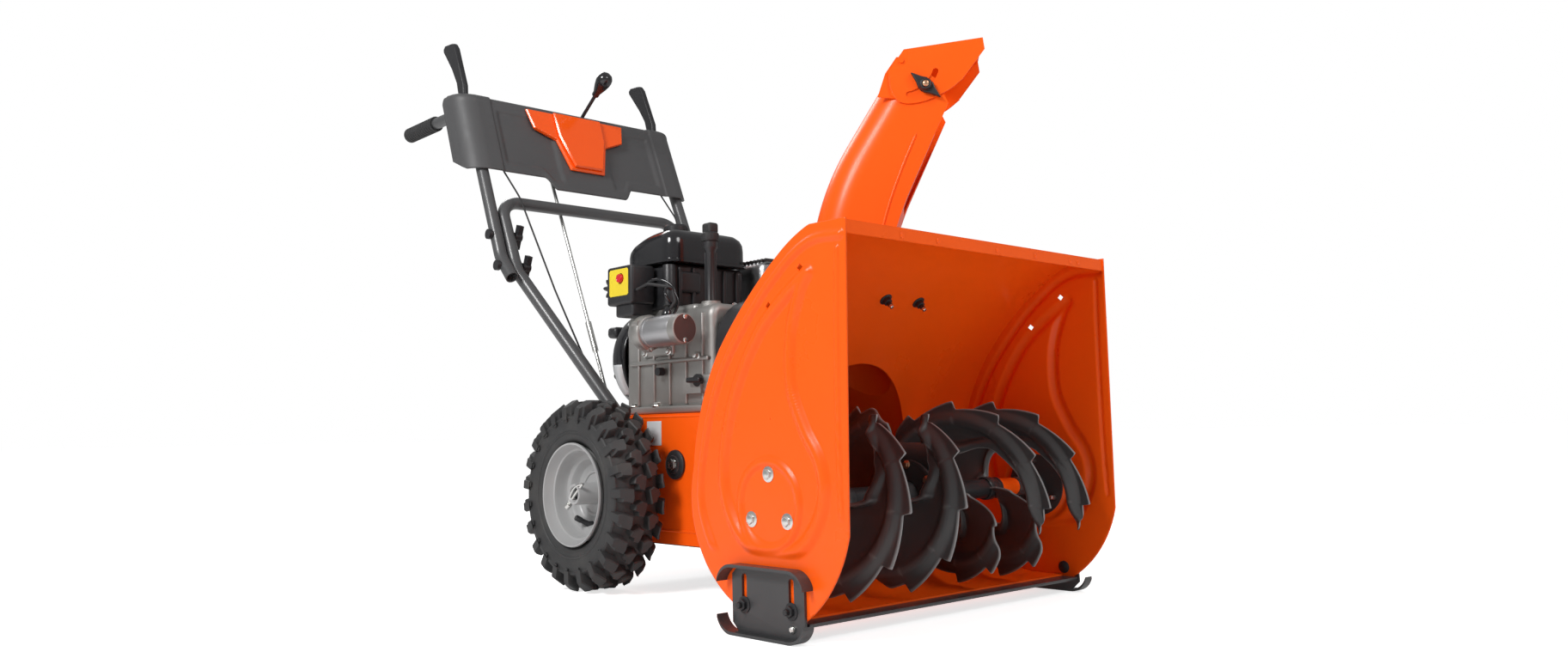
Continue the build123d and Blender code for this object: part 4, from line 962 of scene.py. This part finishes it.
def make_starter():
    """Starter motor: drawn can, cast gear end, dark end plate with two screws and the curled lead."""
    low, high, _ = box("starter_motor")
    x, z = STARTER_X, STARTER_Z
    can = lathe([(0, 0), (26.5, 0), (27, 1), (27, 66), (26, 67), (26, 69), (27, 70), (27, 76), (26, 77)],
                (x, low.y + 18, z), Y, 56)
    piece("starter_can", can, SATIN, replaces=["starter_motor"])
    ends = lathe([(0, 0), (25, 0), (26.6, 1.5), (26.6, 18), (24, 19)], (x, low.y + 1, z), Y, 56)
    cover = material("end_plate_paint", (0.075, 0.045, 0.042), 0.42, second=(0.095, 0.06, 0.055), grain=0.2)
    plate = lathe([(0, 0), (24.2, 0), (24.8, -0.5), (24.8, -2.4), (24, -3), (0, -3.2)], (x, low.y + 1, z), Y, 56)
    plate = Shape().join(plate, Matrix.Translation((0, 3, 0)))
    piece("starter_end", plate, cover)
    nose = lathe([(0, 0), (27, 0), (30.5, 2), (31.5, 4), (31.5, 20), (29, 24), (22, 40), (16, 46), (0, 46)],
                 (x, low.y + 94, z), Y, 48)
    nose.join(rounded_box((x + 4, high.y - 36, z - 24), (-92, high.y - 2, z + 24), 6))
    for _, spot in circle((x, low.y + 96, z), 29, turned(30, 150, 270)):
        nose.join(lathe([(0, 0), (5.5, 0), (5.5, 17), (0, 17)], spot, Y, 20))
    piece("starter_nose", nose.join(ends), ALUMINIUM)
    screws = Shape()
    for dz in (20, -20):
        screws.join(lathe([(0, 0), (4.6, 0), (4.6, 2), (3.4, 3.4), (0, 3.8)], (x, low.y + 1.2, z + dz), -Y, 20))
    for _, spot in circle((x, low.y + 96, z), 29, turned(30, 270)):
        screws.join(hex_bolt(spot, -Y, 7, 4))
    piece("starter_screws", screws, ZINC)
    route = [(-118, -18, 528), (-124, -34, 534), (-118, -60, 536), (-108, -82, 524), (-106, -92, 500),
             (-120, -98, 488), (-132, -96, 502), (-126, -90, 516), (-112, -92, 512), (-108, -100, 490),
             (-124, -106, 468), (-140, -108, 463)]
    lead = tube(smooth_path(route, 8), 2.6, 12)
    boot = lathe([(0, -2), (9, -2), (10, 0), (8, 10), (4, 16), (0, 16)], (-140, -108, 464), (0.2, 0, 1), 24)
    piece("starter_lead", lead.join(boot), GLOSS_BLACK, smooth=40)


def make_crankcase():
    """Ribs, flanges and bolts on the crankcase, with its drain plug."""
    front = BLOCK_LOW.y + 10
    cast = Shape()
    cast.join(lathe([(14, 0), (34, 0), (36, -2), (40, -8), (44, -10), (62, -12), (64, -10), (64, 0)],
                    (0, front, CRANK_Z), Y, 64))
    cover_bolts = turned(*range(20, 380, 45))
    for _, spot in circle((0, front - 9, CRANK_Z), 64, cover_bolts):
        cast.join(lathe([(0, -2), (7.5, -2), (8, 0), (8, 12), (0, 12)], spot, Y, 20))
    side = BLOCK_LOW.x + 12
    for y in (-150, -104, -58, -12, 34):
        cast.join(rounded_box((side - 5, y - 3, 312), (side + 6, y + 3, 470), 2.4))
    cast.join(rounded_box((side - 7, -168, 386), (side + 6, 58, 394), 3))
    cast.join(rounded_box((BLOCK_LOW.x + 2, -172, 297), (BLOCK_HIGH.x - 130, 60, 311), 4))
    cast.join(rounded_box((-98, -176, 330), (-70, -128, 364), 7))
    cast.join(rounded_box((-98, -70, 398), (-76, 20, 470), 8))
    cast.join(lathe([(0, 0), (20, 0), (21, 2), (20, 20), (15, 22), (0, 22)], (-62, -137, 468), Z, 32))
    cast.join(rounded_box((-84, -120, 470), (84, 50, 490), 8))
    piece("crankcase_ribs", cast, ALUMINIUM, smooth=38)
    bolts = Shape()
    for _, spot in circle((0, front - 10.4, CRANK_Z), 64, cover_bolts):
        bolts.join(hex_bolt(spot, -Y, 10, 5, flange=7.5))
    for y in (-158, -20, 48):
        bolts.join(hex_bolt((-94, y, 311), Z, 13, 7, flange=10.5))
    for y, z in ((-60, 408), (-60, 462), (10, 408), (10, 462)):
        bolts.join(hex_bolt((-98, y, z), -X, 10, 5, flange=7.5))
    bolts.join(hex_bolt((-98, -140, 395), -X, 9, 8, flange=7))
    piece("engine_bolts", bolts, ZINC)
    plug = lathe([(0, -4), (10, -4), (11, -2), (11, 4), (8, 5), (0, 5)], (-101, -146, 352), -X, 28)
    plug.join(rounded_box((-116, -164, 348), (-104, -128, 357), 3))
    plug.join(lathe([(0, 0), (7, 0), (7.5, 1), (7.5, 13), (0, 14)], (-96, -40, 372), -X, 24))
    piece("drain_plug", plug, PLASTIC)


def make_filler():
    low, high, middle = box("oil_fill_tube")
    radius = [(6.6, 0), (11, 0), (11, 6), (9.4, 10), (9.2, 60), (9.2, high.z - low.z - 18),
              (12.6, high.z - low.z - 12),
              (13, high.z - low.z - 10), (13, high.z - low.z), (6.6, high.z - low.z)]
    stem = lathe(radius, (middle.x, middle.y, low.z), Z, 36)
    for _, (x, y, _) in circle((middle.x, middle.y, 0), 9.5, turned(45, 135, 225, 315), "z"):
        stem.join(rounded_box((x - 1.4, y - 1.4, low.z + 16), (x + 1.4, y + 1.4, high.z - 20), 1.2))
    piece("filler_tube", stem, PLASTIC, replaces=["oil_fill_tube"])
    cap_low, cap_high, cap = box("oil_cap")
    cover = lathe([(5.9, 0), (5.9, high.z + 0.6 - cap_low.z), (15, high.z + 0.6 - cap_low.z),
                   (15.8, high.z + 2 - cap_low.z),
                   (15.8, high.z + 14 - cap_low.z), (13, high.z + 17 - cap_low.z), (0, high.z + 18 - cap_low.z)],
                  (cap.x, cap.y, cap_low.z), Z, 44)
    for a, spot in circle((cap.x, cap.y, high.z + 8), 14.6, turns(16), "z"):
        cover.join(bar(1.2, 5, 1.3, spot, (cos(a), sin(a), 0), Z, 0.3))
    cover.join(rounded_box((cap.x - 11, cap.y - 12, high.z + 14), (cap.x + 11, cap.y + 12, cap_high.z), 5))
    piece("dipstick_cap", cover, GRIP, body="oil_cap", replaces=["oil_cap"])


def make_blower():
    """Recoil housing at the engine's rear: shell, slots, cup and grip."""
    low, high, middle = box("blower_housing")
    depth = high.y - low.y
    profile = [(93, 0), (97, 0), (98, 1.5), (98, 30), (96, 36), (92, 40), (80, 44), (66, 47), (60, 52), (46, 55),
               (44, 62),
               (40, depth - 1), (0, depth - 1)]
    shell = lathe(profile, (middle.x, low.y, middle.z), Y, 96)
    for a, spot in circle((middle.x, low.y + 45, middle.z), 74, turns(28)):
        shell.join(bar(1.8, 12, 4, spot, Y, (cos(a), 0, sin(a)), 1))
    piece("blower_shell", shell, GLOSS_BLACK, replaces=["blower_housing"])
    label = Shape()
    for k in range(12):
        a0, a1 = radians(186 + 3 * k), radians(189 + 3 * k)
        r = 98.5
        corners = [(middle.x + r * cos(a), y, middle.z + r * sin(a)) for a, y in
                   ((a0, low.y + 4), (a1, low.y + 4), (a1, low.y + 30), (a0, low.y + 30))]
        label.add(corners, [(0, 1, 2, 3)])
    piece("blank_label", label, PALE, smooth=60, thickness=0.5)
    grip_low, grip_high, grip = box("recoil_handle")
    rope = tube([(grip.x, low.y + 16, grip.z), (grip.x, grip.y - 6, grip.z)], 3, 16)
    handle = rounded_box((grip_low.x, grip.y - 4, grip_low.z), (grip_high.x, grip_high.y, grip_high.z), 8)
    handle.join(rounded_box((grip.x - 9, grip.y - 13, grip.z - 8), (grip.x + 9, grip.y, grip.z + 8), 5))
    piece("pull_grip", handle.join(rope), PLASTIC, body="recoil_handle", smooth=40, replaces=["recoil_handle"])
    screws = Shape()
    for _, spot in circle((middle.x, low.y + 41.5, middle.z), 88, turned(20, 110, 200, 290)):
        screws.join(hex_bolt(spot, Y, 8, 4, flange=6))
    piece("blower_screws", screws, ZINC)


def make_muffler():
    low, high, middle = box("muffler")
    can = rounded_box((low.x + 2, low.y + 4, 500), (high.x - 8, high.y - 4, high.z - 3), 18)
    can.join(tube([(178, middle.y, 464), (178, middle.y, 510)], 10.5, 24))
    guard = Shape()
    for k in range(9):
        y = low.y + 8 + k * (high.y - low.y - 16) / 8
        guard.join(rounded_box((high.x - 10, y - 3, 506), (high.x - 0.5, y + 3, high.z - 4), 2.4))
        guard.join(rounded_box((low.x + 6, y - 3, high.z - 6), (high.x - 3, y + 3, high.z), 2.4))
    for z in (508, high.z - 8):
        guard.join(rounded_box((high.x - 6, low.y + 2, z - 4), (high.x, high.y - 2, z + 4), 2.5))
    piece("muffler_can", can, STEEL, smooth=40, replaces=["muffler"])
    piece("muffler_guard", guard, BLACK, smooth=40)


# ---- chute, drive and front details ----
CHUTE_FOOT = Vector((40, -365, 0))
HEADING = Vector((0.643, -0.766, 0))
ACROSS = Vector((-0.766, -0.643, 0))


def chute_spot(s, z, out):
    """Point on the chute: distance along its heading, height and distance to its side that carries the knob."""
    return CHUTE_FOOT + Z * z + HEADING * s + ACROSS * out


def make_knob():
    """Diamond wing knob with a raised boss, and the end of its bolt."""
    turn = radians(44)
    wing = [(-33, 0), (-15, -6.5), (-7, -11), (7, -11), (15, -6.5), (33, 0), (15, 6.5), (7, 11), (-7, 11), (-15, 6.5)]
    wing = [(a * cos(turn) - b * sin(turn), a * sin(turn) + b * cos(turn)) for a, b in wing]
    foot = chute_spot(150, 826, 65.4)
    knob = prism([(-a, b) for a, b in wing], 8, foot, ACROSS, Z, bevel=1.4)
    knob.join(lathe([(0, 0), (12, 0), (11.4, 7), (9.6, 12), (8.6, 13.6), (6.4, 14), (6, 12.6), (0, 12.6)], foot,
                    ACROSS, 32))
    piece("wing_knob", knob, PLASTIC, body="deflector_knob", bevel=0.8, replaces=["deflector_knob"])
    bolt = lathe([(4, -12), (4, 13.4), (5.4, 13.6), (5.4, 14.8), (4.2, 16), (2, 16.6), (0, 16.6)], foot, ACROSS, 24)
    piece("knob_bolt", bolt, COPPER, body="deflector_knob")


def chute_line(points, out, radius):
    """Thin round edge along points on one side of the chute."""
    return tube(smooth_path([chute_spot(s, z, out) for s, z in points], 10), radius, 10)


def make_chute_edges():
    """Rolled folds beside the chute's front edges, and the hem of the deflector's sides."""
    fold = [(54, 508), (62, 560), (74, 606), (90, 652), (110, 700), (131, 746)]
    radii = [1.4] + [2.6] * 49 + [1.2]
    folds = chute_line(fold, 61.4, radii).join(chute_line(fold, -61.4, radii))
    piece("chute_folds", folds, ORANGE, body="chute", smooth=60)
    hem = [(91, 848), (92, 826), (99, 809), (111, 800), (127, 798), (153, 802.5), (187, 817.5), (212, 836)]
    hems = chute_line(hem, 63.8, 1.3).join(chute_line(hem, -63.8, 1.3))
    piece("deflector_hems", hems, ORANGE, body="deflector", smooth=60)


def make_belt_guard():
    """Moulded cover in front of the crankcase, with a raised panel."""
    low, high, _ = box("belt_cover")
    arch = [(-84, low.z + 1), (-104, low.z + 18), (-104, 400)]
    arch += [(-104 + 84 * (1 - cos(radians(a))), 408 + 82 * sin(radians(a))) for a in range(0, 91, 10)]
    arch += [(-x, z) for x, z in arch[::-1]]
    guard = prism([(-x, z) for x, z in arch], high.y - low.y - 1, (0, low.y + 0.5, 0), Y, Z, bevel=9)
    inner = [(x * 0.86, 300 + (z - 300) * 0.9) for x, z in arch]
    guard.join(prism([(-x, z) for x, z in inner], 8, (0, low.y - 3, 0), Y, Z, bevel=3))
    piece("belt_guard", guard, PLASTIC, bevel=2.5, replaces=["belt_cover"])


def make_gear_bolts():
    """Copper-coloured bolts round the gear case, its side flanges and the collar on the impeller shaft."""
    _, _, shaft = box("auger_shaft")
    bolts, flanges = Shape(), Shape()
    for side in (1, -1):
        flanges.join(lathe([(20, 0), (49.5, 0), (50.5, 1), (50.5, 4), (49.5, 5), (40, 6.4), (24, 7), (20, 7)],
                           (side * 21, shaft.y, shaft.z), (side, 0, 0), 48))
        for _, spot in circle((side * 26, shaft.y, shaft.z), 43, turned(*range(30, 390, 60)), "x"):
            bolts.join(hex_bolt(spot, (side, 0, 0), 9, 5.5, flange=6.5))
    piece("gear_case_flanges", flanges, IRON)
    piece("gear_case_bolts", bolts, COPPER)
    _, _, drive = box("impeller_shaft")
    collar = lathe([(11, 0), (23, 0), (24.4, 1.2), (24.4, 6), (22, 7.4), (19, 8), (18, 14), (11, 14)],
                   (0, -482, drive.z), Y, 40)
    piece("gear_case_collar", collar, BRONZE)


def make_frame_details():
    """Blank plate, bearing rings, nuts, bolts and folds on the traction frame's sides."""
    low, high, _ = box("tractor_frame")
    _, _, hex_shaft = box("hex_shaft")
    plate = rounded_box((low.x - 1.0, -79, 242), (low.x - 0.1, -38, 284), 0.4, 2)
    piece("blank_frame_plate", plate, PALE, smooth=30)
    ring = lathe([(10.5, 0), (24, 0), (25, 1.2), (24.6, 4), (21, 6), (16, 6.4), (14.5, 9), (10.5, 9)],
                 (high.x + 0.2, hex_shaft.y, hex_shaft.z), X, 40)
    piece("bearing_rings", both_sides(ring), PLASTIC)
    nut = hex_bolt((136, hex_shaft.y, hex_shaft.z), X, 17, 6, flange=11)
    piece("hexagon_nuts", both_sides(nut), ZINC, body="hexagon_shaft")
    bolts = Shape()
    for y, z in ((-250, 270), (-250, 110), (118, 262), (118, 110)):
        bolts.join(hex_bolt((high.x + 0.1, y, z), X, 10, 4, flange=8))
    piece("frame_bolts", both_sides(bolts), ZINC)
    seam = tube([(high.x - 0.6, low.y + 12, 100), (high.x - 0.6, high.y - 12, 100)], 2.2, 10)
    seam.join(tube([(high.x - 0.6, low.y + 12, high.z - 5), (high.x - 0.6, high.y - 12, high.z - 5)], 1.8, 10))
    piece("frame_folds", both_sides(seam), ORANGE, smooth=60)


def make_speed_knob():
    """Drop-shaped knob over the CAD lever's own."""
    profile = [(0, -1), (7.5, -1), (8.2, 1), (8.2, 8), (10.5, 14), (14, 24), (17, 36), (17.6, 44), (16.4, 51),
               (12.5, 57.5),
               (6.5, 61), (0, 61.8)]
    knob = lathe(profile, (30, 361, 1011), (0, -74, 56), 40)
    piece("speed_knob", knob, GLOSS_BLACK, body="speed_lever", smooth=40)


# ---- surroundings ----
FLOOR_HALF = 60            # metres
FLOOR_GLOW, FLOOR_GLOW_SEEN = 0.12, 0.58
WORLD_LIGHT = 0.34
LAMPS = (("key", (-2.9, -0.5, 1.9), 1.1, 88), ("fill", (0.2, -3.0, 1.9), 1.2, 30), ("rear", (0.6, 2.6, 2.4), 1.4, 30))
FOCAL_LENGTH, CAMERA_SHIFT = 25.77, (0.0352, -0.0683)
CAMERA_PLACE = (-1.3558, -1.6507, 0.2648)
CAMERA_TURN = (-41.499, -10.554, -0.994)          # heading, pitch and roll in degrees


def make_stage():
    """Pale floor, soft light and the camera."""
    mesh = bpy.data.meshes.new("floor")
    corners = [(-1, -1), (1, -1), (1, 1), (-1, 1)]
    mesh.from_pydata([(x * FLOOR_HALF, y * FLOOR_HALF, 0) for x, y in corners], [], [(0, 1, 2, 3)])
    floor = bpy.data.objects.new("floor", mesh)
    bpy.context.scene.collection.objects.link(floor)
    floor.location.z = -0.0005
    white = material("floor_white", (0.90, 0.90, 0.90), 0.6, second=(0.88, 0.88, 0.88), mottle=0.3, specular=0.1)
    mesh.materials.append(white)
    tree = white.node_tree
    glow, seen, added = (tree.nodes.new(f"ShaderNode{kind}") for kind in ("Emission", "LightPath", "AddShader"))
    gain = tree.nodes.new("ShaderNodeMath")
    gain.operation, gain.inputs[1].default_value = "MULTIPLY_ADD", FLOOR_GLOW_SEEN
    gain.inputs[2].default_value = FLOOR_GLOW
    tree.links.new(seen.outputs["Is Camera Ray"], gain.inputs[0])
    tree.links.new(gain.outputs[0], glow.inputs["Strength"])
    tree.links.new(tree.nodes["Principled BSDF"].outputs[0], added.inputs[0])
    tree.links.new(glow.outputs[0], added.inputs[1])
    tree.links.new(added.outputs[0], tree.nodes["Material Output"].inputs["Surface"])
    world = bpy.data.worlds.new("studio")
    world.use_nodes = True
    light = world.node_tree.nodes["Background"]
    light.inputs["Strength"].default_value = WORLD_LIGHT
    seen = world.node_tree.nodes.new("ShaderNodeBackground")
    for background in (light, seen):
        background.inputs["Color"].default_value = (1, 1, 1, 1)
    mixed = world.node_tree.nodes.new("ShaderNodeMixShader")
    ray = world.node_tree.nodes.new("ShaderNodeLightPath")
    links = world.node_tree.links
    links.new(ray.outputs["Is Camera Ray"], mixed.inputs[0])
    links.new(light.outputs[0], mixed.inputs[1])
    links.new(seen.outputs[0], mixed.inputs[2])
    links.new(mixed.outputs[0], world.node_tree.nodes["World Output"].inputs["Surface"])
    bpy.context.scene.world = world
    middle = (Vector(CAD_BOX[0]) + Vector(CAD_BOX[1])) / 2
    for name, place, size, power in LAMPS:
        lamp = bpy.data.lights.new(name, "AREA")
        lamp.shape, lamp.size, lamp.energy = "DISK", size, power
        item = bpy.data.objects.new(name, lamp)
        item.location = middle + Vector(place)
        item.rotation_euler = (-Vector(place)).to_track_quat("-Z", "Y").to_euler()
        bpy.context.scene.collection.objects.link(item)
    lens = bpy.data.cameras.new("camera")
    lens.sensor_width, lens.lens, lens.clip_end = 36, FOCAL_LENGTH, 200
    lens.shift_x, lens.shift_y = CAMERA_SHIFT
    view = bpy.data.objects.new("camera", lens)
    heading, pitch, roll = [radians(angle) for angle in CAMERA_TURN]
    back = Vector((sin(heading) * cos(pitch), -cos(heading) * cos(pitch), sin(pitch)))
    right = (-back).cross(Z).normalized()
    up = right.cross(-back)
    side, top = right * cos(roll) + up * sin(roll), -right * sin(roll) + up * cos(roll)
    rotation = Matrix((side, top, back)).transposed().to_4x4()
    view.matrix_world = Matrix.Translation(CAMERA_PLACE) @ rotation
    bpy.context.scene.collection.objects.link(view)
    bpy.context.scene.camera = view
    bpy.context.scene.view_settings.view_transform = "Standard"


for make in (dress_cad_nodes, make_augers, make_wheels, make_housing, make_housing_bolts, make_tank,
             make_heater_box, make_control_box, make_starter, make_crankcase, make_filler, make_blower,
             make_muffler, make_knob, make_chute_edges, make_belt_guard, make_gear_bolts, make_frame_details,
             make_speed_knob, make_console, make_grips, make_levers, make_stage):
    make()
